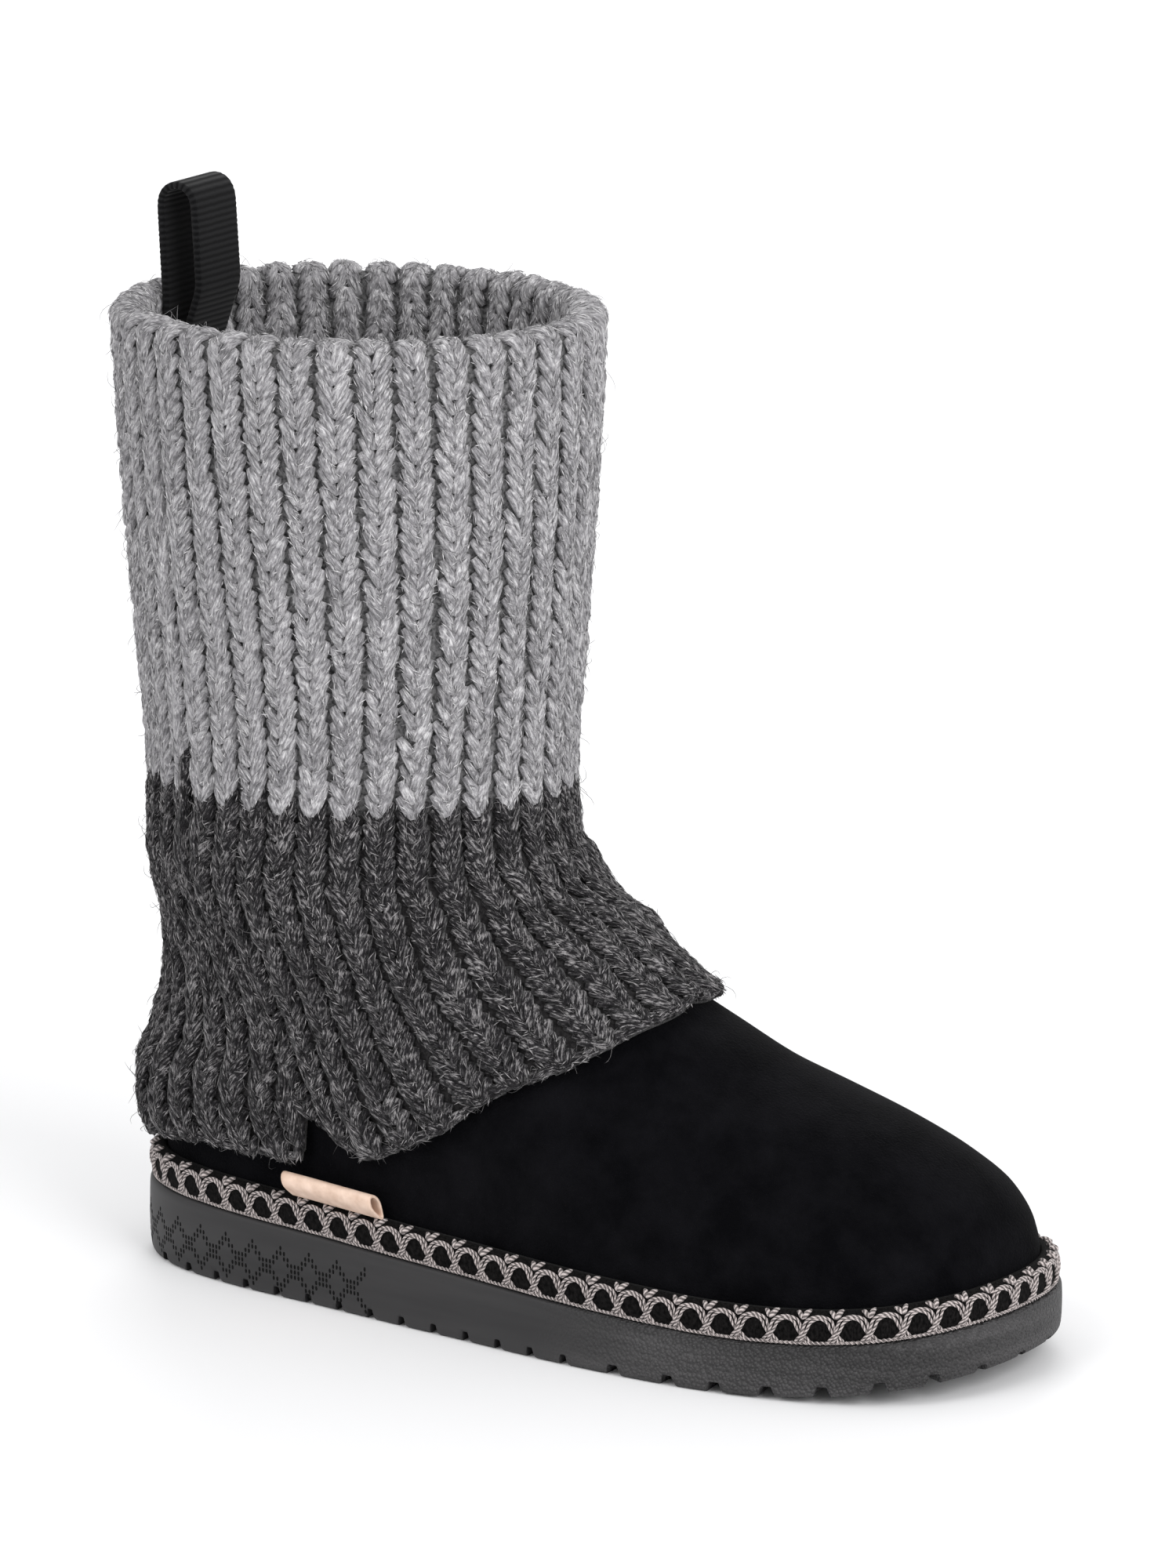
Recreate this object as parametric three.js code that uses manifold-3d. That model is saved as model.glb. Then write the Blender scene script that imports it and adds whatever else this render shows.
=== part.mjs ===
// A mukluk boot for the right foot: a suede slipper boot on a moulded rubber sole, with a braid round its
// foot and a loose ribbed knit cover that is turned in over the collar. Millimetres. +X runs to the toe,
// +Y to the inner side of the foot and +Z up. Z = 0 is the floor, and X = 0 lies under the shaft's middle.
import * as THREE from "three";
import { mergeVertices } from "three/addons/utils/BufferGeometryUtils.js";
import Module from "manifold-3d";

const wasm = await Module();
wasm.setup();

// Driving sizes
const soleLength = 280;
const ballWidth = 107;
const heelThickness = 22.5;
const toeThickness = 13.5;
const toeSpring = 8;
const springStart = 0.7; // share of the sole's length at which the toe starts to rise
const taperCurve = 0.35; // how much of the sole's taper is curved, the rest being straight
const ledge = 6.5; // what the sole shows beyond the upper, all round
const clearance = 0.3; // between pieces that touch
const trimClearance = 0.5; // round the upper's tightest bends
const upperWall = 2.4;
const insoleThickness = 4.5;
const instepRise = 95; // from the sole's top to the bend of the ankle
const shaftMiddle = 67; // from the back of the sole
const collarHeight = 275; // top of the suede shaft above the floor
const collarDepth = 131; // suede shaft at the collar, back to front
const collarWidth = 120;
const ankleDepth = 115; // suede shaft where it is narrowest
const ankleWidth = 98;
const trimHeight = 9;
const trimThickness = 5.2;
const knitWall = 4.6;
const turnInWall = 3.6; // the knit's hem inside the collar
const turnInDepth = 24;
const ribCount = 38;
const ribDepth = 1.3;
const grooveSpacing = 11.2;
const grooveWidth = 2.4;
const grooveDepth = 3.2;
const grooveTaper = 0.6; // how much narrower a groove's root is than its mouth, as a share of its width
const plainTread = 10; // without grooves, at the heel
const fanStart = 0.6; // share of the sole's length from which the grooves fan out round the forefoot
const fanSpacing = 15.6;
const fanLength = 24;
const fanWidth = 4;
const loopWidth = 22;
const loopHeight = 30; // above the knit's rim
const loopDepth = 13;
const strapThickness = 2;
const sewnLength = 6; // of the loop's two ends, held together inside the collar
const tabMiddle = 85; // from the back of the sole
const tabLength = 30;
const tabHeight = 8.2;
const tabDepth = 5;
const tabThickness = 0.9;
const tabOut = 4.6; // the tab's middle, from the suede
const tabLean = 0.4; // outwards, in radians

// How finely the curved pieces are divided
const soleColumns = 72;
const upperColumns = 48;
const knitColumns = 2 * ribCount;
const tabSides = 10;
const tabColumns = 6;
const bendSteps = 8;
const outlineSteps = 96;
const rimTurns = [40, 90, 140, 180]; // degrees over the collar at which the knit's rim has a row of points

// Half-widths of the sole beside an ellipse of its length, as shares of the ball width.
// along runs from heel to toe, outer is the little-toe side, middle is how far the centre line drifts inward.
const soleOutline = [
  { along: 0.0, outer: 0.6, inner: 0.6, middle: 0.0 },
  { along: 0.06, outer: 0.54, inner: 0.55, middle: 0.0 },
  { along: 0.15, outer: 0.475, inner: 0.455, middle: 0.0 },
  { along: 0.28, outer: 0.435, inner: 0.37, middle: 0.0 },
  { along: 0.42, outer: 0.452, inner: 0.345, middle: 0.0 },
  { along: 0.56, outer: 0.508, inner: 0.4, middle: 0.006 },
  { along: 0.7, outer: 0.59, inner: 0.495, middle: 0.02 },
  { along: 0.82, outer: 0.69, inner: 0.585, middle: 0.035 },
  { along: 0.92, outer: 0.82, inner: 0.68, middle: 0.045 },
  { along: 1.0, outer: 0.93, inner: 0.76, middle: 0.05 },
];

// Side wall of the sole from tread to top: how far in from the outline, and how high up the wall.
const soleWall = [
  { inset: 1.8, up: 0.0 },
  { inset: 0.6, up: 0.06 },
  { inset: 0.15, up: 0.22 },
  { inset: 0.0, up: 0.6 },
  { inset: 0.2, up: 0.93 },
  { inset: 0.9, up: 1.0 },
];

// Rings of the suede from the sole's top to the ankle. heel and front are places along the upper's foot,
// heelUp and frontUp are heights as shares of instepRise, outer and inner half-widths as shares of the ball
// width. round turns the ring from the foot's outline to an ellipse, and follow keeps the sole's curve.
const footRings = [
  { heel: 0.0, front: 1.0, heelUp: 0.0, frontUp: 0.0, outer: 0.459, inner: 0.42, round: 0.0, follow: 1.0 },
  { heel: -0.005, front: 1.001, heelUp: 0.095, frontUp: 0.095, outer: 0.466, inner: 0.427, round: 0.0, follow: 1.0 },
  { heel: -0.01, front: 0.9955, heelUp: 0.223, frontUp: 0.174, outer: 0.472, inner: 0.433, round: 0.05, follow: 0.9 },
  { heel: -0.011, front: 0.9775, heelUp: 0.318, frontUp: 0.274, outer: 0.46, inner: 0.422, round: 0.2, follow: 0.7 },
  { heel: -0.007, front: 0.942, heelUp: 0.402, frontUp: 0.363, outer: 0.434, inner: 0.4, round: 0.45, follow: 0.45 },
  { heel: -0.001, front: 0.8895, heelUp: 0.476, frontUp: 0.442, outer: 0.408, inner: 0.378, round: 0.68, follow: 0.2 },
  { heel: 0.005, front: 0.826, heelUp: 0.549, frontUp: 0.507, outer: 0.39, inner: 0.363, round: 0.85, follow: 0.0 },
  { heel: 0.009, front: 0.7547, heelUp: 0.623, frontUp: 0.574, outer: 0.38, inner: 0.354, round: 0.95, follow: 0.0 },
  { heel: 0.012, front: 0.687, heelUp: 0.697, frontUp: 0.658, outer: 0.378, inner: 0.356, round: 1.0, follow: 0.0 },
  { heel: 0.013, front: 0.62, heelUp: 0.776, frontUp: 0.737, outer: 0.388, inner: 0.37, round: 1.0, follow: 0.0 },
  { heel: 0.013, front: 0.5524, heelUp: 0.86, frontUp: 0.847, outer: 0.406, inner: 0.394, round: 1.0, follow: 0.0 },
  { heel: 0.012, front: 0.489, heelUp: 0.949, frontUp: 0.98, outer: 0.438, inner: 0.434, round: 1.0, follow: 0.0 },
];

// Rings of the suede shaft: up is the share of the way from the bend of the ankle to the collar,
// deep and wide the shares of the way from the ankle's depth and width to the collar's.
const shaftRings = [
  { up: 0.06, deep: 0.12, wide: 0.0 },
  { up: 0.18, deep: 0.0, wide: 0.02 },
  { up: 0.4, deep: 0.28, wide: 0.3 },
  { up: 0.7, deep: 0.7, wide: 0.7 },
  { up: 1.0, deep: 1.0, wide: 1.0 },
];

// Lower edge of the knit cover, as the ring number that it follows from the heel (0) to the front (1).
// The deep place at 0.344 is the notch at its side seam.
const hemLine = [
  { around: 0.0, ring: 1.5 },
  { around: 0.09, ring: 1.45 },
  { around: 0.25, ring: 1.9 },
  { around: 0.336, ring: 2.05 },
  { around: 0.344, ring: 3.75 },
  { around: 0.357, ring: 3.6 },
  { around: 0.375, ring: 3.2 },
  { around: 0.396, ring: 2.8 },
  { around: 0.42, ring: 3.15 },
  { around: 0.46, ring: 3.95 },
  { around: 0.55, ring: 5.9 },
  { around: 0.7, ring: 7.6 },
  { around: 0.85, ring: 8.6 },
  { around: 1.0, ring: 9.0 },
];

// How far the knit stands off the suede, up from its hem (0) to the rim (1), at the back, sides and front.
const knitSlack = [
  { up: 0.0, back: 2.2, side: 0.6, front: 0.3 },
  { up: 0.1, back: 3.2, side: 1.2, front: 1.2 },
  { up: 0.22, back: 1.6, side: 1.2, front: 2.6 },
  { up: 0.32, back: 0.5, side: 0.9, front: 1.0 },
  { up: 0.4, back: 0.2, side: 0.6, front: 3.4 },
  { up: 0.5, back: 0.1, side: 0.3, front: 1.0 },
  { up: 0.75, back: 0.0, side: 0.2, front: 0.2 },
  { up: 1.0, back: 0.0, side: 0.0, front: 0.0 },
];

// A smooth curve through one column of a table, read against its first column, with no overshoot.
function curveOf(rows, key, column) {
  const at = rows.map((row) => row[key]);
  const value = rows.map((row) => row[column]);
  const last = rows.length - 1;
  const rate = at.slice(1).map((x, i) => (value[i + 1] - value[i]) / (x - at[i]));
  const slope = value.map((_, i) => {
    const before = rate[Math.max(i - 1, 0)];
    const after = rate[Math.min(i, last - 1)];
    return before * after > 0 ? (2 * before * after) / (before + after) : 0;
  });
  return (x) => {
    let i = 0;
    while (i < last - 1 && x > at[i + 1]) i += 1;
    const span = at[i + 1] - at[i];
    const t = THREE.MathUtils.clamp((x - at[i]) / span, 0, 1);
    const t2 = t * t;
    const t3 = t2 * t;
    return (
      (2 * t3 - 3 * t2 + 1) * value[i] +
      (t3 - 2 * t2 + t) * span * slope[i] +
      (3 * t2 - 2 * t3) * value[i + 1] +
      (t3 - t2) * span * slope[i + 1]
    );
  };
}

// Closed surface through a cycle of rings, each with as many points: the last ring joins the first again.
function solidOfRings(rings) {
  const count = rings[0].length;
  const triangles = [];
  rings.forEach((ring, r) => {
    const next = (r + 1) % rings.length;
    ring.forEach((_, i) => {
      const j = (i + 1) % count;
      const [a, b, c, d] = [r * count + i, r * count + j, next * count + j, next * count + i];
      triangles.push(a, b, c, a, c, d);
    });
  });
  return solidOf(rings.flat(), triangles);
}

// Closed solid through a stack of rings, closed at both ends by strips laid from side to side.
function solidOfStack(rings) {
  const count = rings[0].length;
  const triangles = [];
  for (let r = 0; r < rings.length - 1; r += 1) {
    for (let i = 0; i < count; i += 1) {
      const j = (i + 1) % count;
      const [a, b, c, d] = [r * count + i, r * count + j, (r + 1) * count + j, (r + 1) * count + i];
      triangles.push(a, b, c, a, c, d);
    }
  }
  const top = (rings.length - 1) * count;
  for (let i = 0; i < count / 2; i += 1) {
    const [a, b, c, d] = [i, i + 1, count - i - 1, (count - i) % count];
    if (a !== d) triangles.push(a, d, c, top + a, top + c, top + d);
    if (b !== c) triangles.push(a, c, b, top + a, top + b, top + c);
  }
  return solidOf(rings.flat(), triangles);
}

// A manifold solid from points and triangles, turned the right way out.
function solidOf(points, triangles) {
  const geometry = new THREE.BufferGeometry().setFromPoints(points);
  geometry.setIndex(triangles);
  return solidOfGeometry(geometry);
}

function solidOfGeometry(geometry) {
  const bare = geometry.clone();
  bare.deleteAttribute("normal");
  bare.deleteAttribute("uv");
  const merged = mergeVertices(bare, 1e-4);
  const vertProperties = new Float32Array(merged.attributes.position.array);
  const triVerts = new Uint32Array(merged.index.array);
  const solid = new wasm.Manifold(new wasm.Mesh({ numProp: 3, vertProperties, triVerts }));
  if (solid.volume() > 0) return solid;
  for (let i = 0; i < triVerts.length; i += 3) {
    [triVerts[i + 1], triVerts[i + 2]] = [triVerts[i + 2], triVerts[i + 1]];
  }
  return new wasm.Manifold(new wasm.Mesh({ numProp: 3, vertProperties, triVerts }));
}

// A named mesh from a manifold solid.
function meshOf(name, solid, material) {
  const made = solid.getMesh();
  const position = new Float32Array(made.numVert * 3);
  for (let i = 0; i < made.numVert; i += 1) {
    for (let k = 0; k < 3; k += 1) position[i * 3 + k] = made.vertProperties[i * made.numProp + k];
  }
  const geometry = new THREE.BufferGeometry();
  geometry.setAttribute("position", new THREE.BufferAttribute(position, 3));
  geometry.setIndex(new THREE.BufferAttribute(made.triVerts, 1));
  geometry.computeVertexNormals();
  const mesh = new THREE.Mesh(geometry, material);
  mesh.name = name;
  return mesh;
}

// The angles of a ring's points. 0 is the back, PI the front, and the outer side comes first.
const anglesOf = (columns) => Array.from({ length: columns }, (_, i) => (2 * Math.PI * i) / columns);
const shareAlong = (angle) => (1 - Math.cos(angle)) / 2;
const isOuter = (angle) => Math.sin(angle) >= 0;

// The sole's outline, its underside and its top
const outlineOuter = curveOf(soleOutline, "along", "outer");
const outlineInner = curveOf(soleOutline, "along", "inner");
const outlineMiddle = curveOf(soleOutline, "along", "middle");

function outlinePoint(angle) {
  const along = shareAlong(angle);
  const half = isOuter(angle) ? outlineOuter(along) : outlineInner(along);
  return new THREE.Vector2(
    soleLength * along,
    ballWidth * (outlineMiddle(along) - half * Math.sin(angle)),
  );
}

// The outline moved inwards by a distance.
function insetOutline(angle, inset) {
  const step = 0.01;
  const run = outlinePoint(angle + step).sub(outlinePoint(angle - step)).normalize();
  return outlinePoint(angle).add(new THREE.Vector2(-run.y, run.x).multiplyScalar(inset));
}

function treadHeight(x) {
  const past = THREE.MathUtils.clamp((x / soleLength - springStart) / (1 - springStart), 0, 1);
  return toeSpring * past * past;
}

function soleThicknessAt(x) {
  const along = THREE.MathUtils.clamp(x / soleLength, 0, 1);
  const share = THREE.MathUtils.lerp(along, THREE.MathUtils.smoothstep(along, 0, 1), taperCurve);
  return THREE.MathUtils.lerp(heelThickness, toeThickness, share);
}

const soleTop = (x) => treadHeight(x) + soleThicknessAt(x);

// The upper's foot
const footStart = ledge;
const footLength = soleLength - 2 * ledge;
const featherHeel = soleTop(footStart) + clearance;
const featherToe = soleTop(footStart + footLength) + clearance;
const featherOuter = Math.max(...anglesOf(outlineSteps).map((a) => -insetOutline(a, ledge).y));
const featherInner = Math.max(...anglesOf(outlineSteps).map((a) => insetOutline(a, ledge).y));
const ankleBend = featherHeel + instepRise;

// All rings of the suede, foot and shaft, in millimetres
const rings = [
  ...footRings.map((row) => ({
    back: footStart + row.heel * footLength,
    front: footStart + row.front * footLength,
    backUp: featherHeel + row.heelUp * instepRise,
    frontUp: featherToe + row.frontUp * instepRise,
    outer: row.outer * ballWidth,
    inner: row.inner * ballWidth,
    round: row.round,
    follow: row.follow,
  })),
  ...shaftRings.map((row) => {
    const depth = THREE.MathUtils.lerp(ankleDepth, collarDepth, row.deep);
    const width = THREE.MathUtils.lerp(ankleWidth, collarWidth, row.wide);
    const up = THREE.MathUtils.lerp(ankleBend, collarHeight, row.up);
    return {
      back: shaftMiddle - depth / 2,
      front: shaftMiddle + depth / 2,
      backUp: up,
      frontUp: up,
      outer: width / 2,
      inner: width / 2,
      round: 1,
      follow: 0,
    };
  }),
].map((row, ring) => ({ ...row, ring }));
const collarRing = rings.length - 1;
const ringColumns = ["back", "front", "backUp", "frontUp", "outer", "inner", "round", "follow"];
const ringCurve = Object.fromEntries(ringColumns.map((c) => [c, curveOf(rings, "ring", c)]));

// The ring numbers of the suede's outer and inner face below the collar, and the heights of the knit's rows
// from its hem (0) to the collar (1)
const upperRows = [0, 0.5, 1, 1.6, 2.3, 3, 3.6, 4.2, 5, 6, 7, 8.3, 9.7, 10.7, 11.4, 12.1, 13, 14.5];
const liningRows = [0, 1, 2, 3, 3.7, 4.5, 5.7, 7, 8.3, 9.7, 10.7, 11.4, 12.1, 13, 14.5];
const knitRows = [0.02, 0.1, 0.2, 0.3, 0.37, 0.43, 0.5, 0.6, 0.78, 0.97];
const hemRound = 0.45; // share of the knit's wall at the outer edge of its hem

// A point of the suede's outer face: an angle round the boot and a ring number up it.
function suedePoint(angle, ring) {
  const along = shareAlong(angle);
  const at = Object.fromEntries(ringColumns.map((c) => [c, ringCurve[c](ring)]));
  const foot = insetOutline(angle, ledge);
  const footAlong = (foot.x - footStart) / footLength;
  const share = THREE.MathUtils.lerp(footAlong, along, at.round);
  const footSide = foot.y < 0 ? foot.y / featherOuter : foot.y / featherInner;
  const side = THREE.MathUtils.lerp(footSide, -Math.sin(angle), at.round);
  const x = THREE.MathUtils.lerp(at.back, at.front, share);
  const y = side * (side < 0 ? at.outer : at.inner);
  const sag = soleTop(foot.x) + clearance - THREE.MathUtils.lerp(featherHeel, featherToe, footAlong);
  const z = THREE.MathUtils.lerp(at.backUp, at.frontUp, share) + at.follow * sag;
  return new THREE.Vector3(x, y, z);
}

// The outward direction of the suede there.
function suedeNormal(angle, ring) {
  const turn = 0.02;
  const rise = 0.05;
  const low = Math.max(ring - rise, 0);
  const high = Math.min(ring + rise, collarRing);
  const across = suedePoint(angle + turn, ring).sub(suedePoint(angle - turn, ring));
  const up = suedePoint(angle, high).sub(suedePoint(angle, low));
  return across.cross(up).normalize();
}

// The suede's face moved out by a distance, or in by a negative one. flat keeps the point at its height.
function suedeOffset(angle, ring, distance, flat = false) {
  const normal = suedeNormal(angle, ring);
  if (flat) normal.setZ(0).normalize();
  return suedePoint(angle, ring).addScaledVector(normal, distance);
}

// The number of the shaft's ring at a height above the floor.
function ringAtHeight(height) {
  let low = footRings.length;
  let high = collarRing;
  for (let i = 0; i < 30; i += 1) {
    const middle = (low + high) / 2;
    if (ringCurve.backUp(middle) < height) low = middle;
    else high = middle;
  }
  return low;
}

// A point beside the suede's foot, at a height above the sole's own top there.
function onSole(angle, rise, distance) {
  const point = suedeOffset(angle, rise / (footRings[1].heelUp * instepRise), distance, true);
  return point.setZ(soleTop(point.x) + clearance + rise);
}

const suede = new THREE.MeshStandardMaterial({ color: 0x0b0b0d, roughness: 0.95, metalness: 0 });
const rubber = new THREE.MeshStandardMaterial({ color: 0x2e2e30, roughness: 0.7, metalness: 0 });
const braid = new THREE.MeshStandardMaterial({ color: 0x4c4848, roughness: 0.9, metalness: 0 });
const wool = new THREE.MeshStandardMaterial({ color: 0x8b8b8e, roughness: 1, metalness: 0 });
const leather = new THREE.MeshStandardMaterial({ color: 0xc9a58a, roughness: 0.6, metalness: 0 });
const fleece = new THREE.MeshStandardMaterial({ color: 0x3a3a3c, roughness: 1, metalness: 0 });
const webbing = new THREE.MeshStandardMaterial({ color: 0x0c0c0d, roughness: 0.85, metalness: 0 });

// One moulded sole with a side wall, toe spring and tread bars.
function makeOutsole() {
  const angles = anglesOf(soleColumns);
  const stack = soleWall.map((level) =>
    angles.map((angle) => {
      const p = insetOutline(angle, level.inset);
      const foot = treadHeight(p.x);
      return new THREE.Vector3(p.x, p.y, foot + level.up * soleThicknessAt(p.x));
    }),
  );
  let sole = solidOfStack(stack);
  const first = Math.ceil((plainTread - shaftMiddle) / grooveSpacing - 0.5);
  const last = Math.floor((fanStart * soleLength - shaftMiddle) / grooveSpacing - 0.5);
  const grooveAt = (n) => shaftMiddle + (n + 0.5) * grooveSpacing;
  for (let n = first; n <= last; n += 1) {
    const end = (side) => new THREE.Vector2(grooveAt(n), side * ballWidth);
    sole = sole.subtract(treadGroove(end(-1), end(1), grooveWidth));
  }
  for (const angle of fanAngles(grooveAt(last))) {
    const groove = treadGroove(insetOutline(angle, -fanLength), insetOutline(angle, fanLength), fanWidth);
    sole = sole.subtract(groove);
  }
  return sole;
}

// The angles of the grooves round the forefoot, evenly spaced past the last groove that runs across.
function fanAngles(lastGroove) {
  const fine = anglesOf(4 * outlineSteps).filter((angle) => outlinePoint(angle).x > lastGroove);
  const route = [0];
  for (let i = 1; i < fine.length; i += 1) {
    route.push(route[i - 1] + outlinePoint(fine[i]).distanceTo(outlinePoint(fine[i - 1])));
  }
  const count = Math.round(route.at(-1) / fanSpacing);
  return Array.from({ length: count - 1 }, (_, n) => {
    const length = (route.at(-1) * (n + 1)) / count;
    return fine[route.findIndex((far) => far >= length)];
  });
}

// A groove in the tread between two places, narrower at its root.
function treadGroove(from, to, width) {
  const run = to.clone().sub(from).normalize();
  const across = new THREE.Vector2(-run.y, run.x);
  const corners = [from, to].flatMap((end) =>
    [[-1, -1], [-1, 1], [1, -1], [1, 1]].map(([side, up]) => {
      const half = (width / 2) * (1 + grooveTaper * (0.5 - up));
      const place = end.clone().addScaledVector(across, side * half);
      return [place.x, place.y, treadHeight(end.x) + up * grooveDepth];
    }),
  );
  return wasm.Manifold.hull(corners);
}

// The suede boot: one wall from the sole's top to the collar, open below and above. It can be made larger
// on every side by a distance, to cut what lies on it.
function makeUpper(grow = 0) {
  const angles = anglesOf(upperColumns);
  const outerRings = [...upperRows, collarRing];
  const innerRings = [...liningRows, collarRing];
  const wall = (ringNumbers, distance) =>
    ringNumbers.map((ring) => {
      const flat = ring === 0 || ring === collarRing;
      const rise = ring === collarRing ? grow : 0;
      return angles.map((a) => suedeOffset(a, ring, distance, flat).add(new THREE.Vector3(0, 0, rise)));
    });
  return solidOfRings([...wall(outerRings, grow), ...wall(innerRings, -upperWall - grow).reverse()]);
}

// The footbed inside the upper, on the sole.
function makeInsole() {
  const edge = [
    { in: 0.09, up: 0 },
    { in: 0, up: 0.25 },
    { in: 0, up: 0.8 },
    { in: 0.27, up: 1 },
  ];
  const inside = (row) => -upperWall - clearance - row.in * insoleThickness;
  return solidOfStack(
    edge.map((row) => anglesOf(upperColumns).map((a) => onSole(a, row.up * insoleThickness, inside(row)))),
  );
}

// The braid band on the sole's ledge, round the foot of the upper.
function makeTrim() {
  const section = [
    { thick: 0, up: 0 },
    { thick: 0.94, up: 0 },
    { thick: 1, up: 0.12 },
    { thick: 1, up: 0.62 },
    { thick: 0.82, up: 0.88 },
    { thick: 0.45, up: 1 },
    { thick: 0, up: 1 },
    { thick: 0, up: 0.5 },
  ];
  const out = (row) => trimClearance + row.thick * trimThickness;
  return solidOfRings(
    section.map((row) => anglesOf(soleColumns).map((a) => onSole(a, row.up * trimHeight, out(row)))),
  );
}

// How far the knit stands off, from its tables. slackTurn is how quickly the slack at the sides turns into
// that at the ends.
const slackTurn = 1.5;
const hemRing = curveOf(hemLine, "around", "ring");
const slackBack = curveOf(knitSlack, "up", "back");
const slackSide = curveOf(knitSlack, "up", "side");
const slackFront = curveOf(knitSlack, "up", "front");

function slackAt(angle, up) {
  const c = -Math.cos(angle);
  const end = c > 0 ? slackFront(up) : slackBack(up);
  return THREE.MathUtils.lerp(slackSide(up), end, Math.abs(c) ** slackTurn);
}

const aroundOf = (angle) => (angle <= Math.PI ? angle : 2 * Math.PI - angle) / Math.PI;

// A point of the knit's outer face, at a height from hem (0) to collar (1).
function knitPoint(angle, up, through, rib) {
  const ring = THREE.MathUtils.lerp(hemRing(aroundOf(angle)), collarRing, up);
  return suedeOffset(angle, ring, clearance + slackAt(angle, up) + through + rib);
}

// The angles of the knit's columns at a height, which are evenly spaced round either side as seen from above.
function knitAngles(up) {
  const fine = [...anglesOf(outlineSteps), 2 * Math.PI];
  const points = fine.map((a) => knitPoint(a, up, knitWall / 2, 0).setZ(0));
  const route = [0];
  for (let i = 1; i < fine.length; i += 1) route.push(route[i - 1] + points[i].distanceTo(points[i - 1]));
  const front = route[outlineSteps / 2];
  return anglesOf(knitColumns).map((turn) => {
    const past = Math.max(turn / Math.PI - 1, 0);
    const length = (Math.min(turn / Math.PI, 1) - past) * front + past * route.at(-1);
    const i = route.findIndex((far, n) => n > 0 && far >= length - 1e-9);
    return THREE.MathUtils.mapLinear(length, route[i - 1], route[i], fine[i - 1], fine[i]);
  });
}

// What lies within the middle of the suede's wall, from the sole to a ring of the shaft.
function makeFootCore(topRing) {
  const ringNumbers = [...upperRows.filter((ring) => ring < topRing), topRing];
  const middle = -upperWall / 2;
  return solidOfStack(
    ringNumbers.map((ring) => anglesOf(upperColumns).map((a) => suedeOffset(a, ring, middle, ring === 0))),
  );
}

// The knit cover: one ribbed tube from its hem up the suede, over the collar and down inside it. It is made
// as a full shape, and then what lies inside it and the suede's own wall are cut out of it.
function makeKnitCover() {
  const ribOf = (i) => (i % 2 === 0 ? 0 : -ribDepth);
  const ring = (up, make) => knitAngles(up).map((a, i) => make(a, ribOf(i)));
  const crest = clearance + knitWall;
  const inside = -upperWall - clearance - turnInWall;
  const rim = (degrees) => {
    const turn = THREE.MathUtils.degToRad(degrees);
    const out = (rib) => THREE.MathUtils.lerp(crest, inside, (1 - Math.cos(turn)) / 2) + rib * Math.cos(turn);
    const up = (rib) => (crest + rib) * Math.sin(turn);
    return ring(1, (a, rib) => suedeOffset(a, collarRing, out(rib), true).add(new THREE.Vector3(0, 0, up(rib))));
  };
  const turnInRing = ringAtHeight(collarHeight - turnInDepth);
  const cover = solidOfStack([
    ring(0, (a) => knitPoint(a, 0, -clearance - upperWall / 2 - slackAt(a, 0), 0)),
    ring(0, (a) => knitPoint(a, 0, knitWall * hemRound, 0)),
    ...knitRows.map((up) => ring(up, (a, rib) => knitPoint(a, up, knitWall, rib))),
    ...rimTurns.map(rim),
    ring(1, (a, rib) => suedeOffset(a, turnInRing, inside - rib, true)),
  ]);
  const core = makeFootCore(ringAtHeight(collarHeight - turnInDepth + clearance));
  return cover.subtract(core).subtract(makeUpper(clearance));
}

// The side tab: a folded strip of leather on the braid's outer side, open at both ends.
function makeSideTab() {
  const section = (angle, thin) =>
    Array.from({ length: tabSides }, (_, i) => {
      const turn = (2 * Math.PI * i) / tabSides;
      const across = (tabDepth / 2 - thin) * Math.cos(turn);
      const point = new THREE.Vector2(across, (tabHeight / 2 - thin) * Math.sin(turn));
      point.rotateAround(new THREE.Vector2(0, 0), -tabLean);
      return onSole(angle, trimHeight + tabHeight / 2 + point.y, tabOut + point.x);
    });
  const middle = Math.acos(1 - (2 * (tabMiddle - footStart)) / footLength);
  const turn = tabLength / ((footLength / 2) * Math.sin(middle));
  const steps = Array.from({ length: tabColumns }, (_, i) => middle + (i / (tabColumns - 1) - 0.5) * turn);
  return solidOfRings([
    ...steps.map((angle) => section(angle, 0)),
    ...steps.reverse().map((angle) => section(angle, tabThickness)),
  ]);
}

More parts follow.
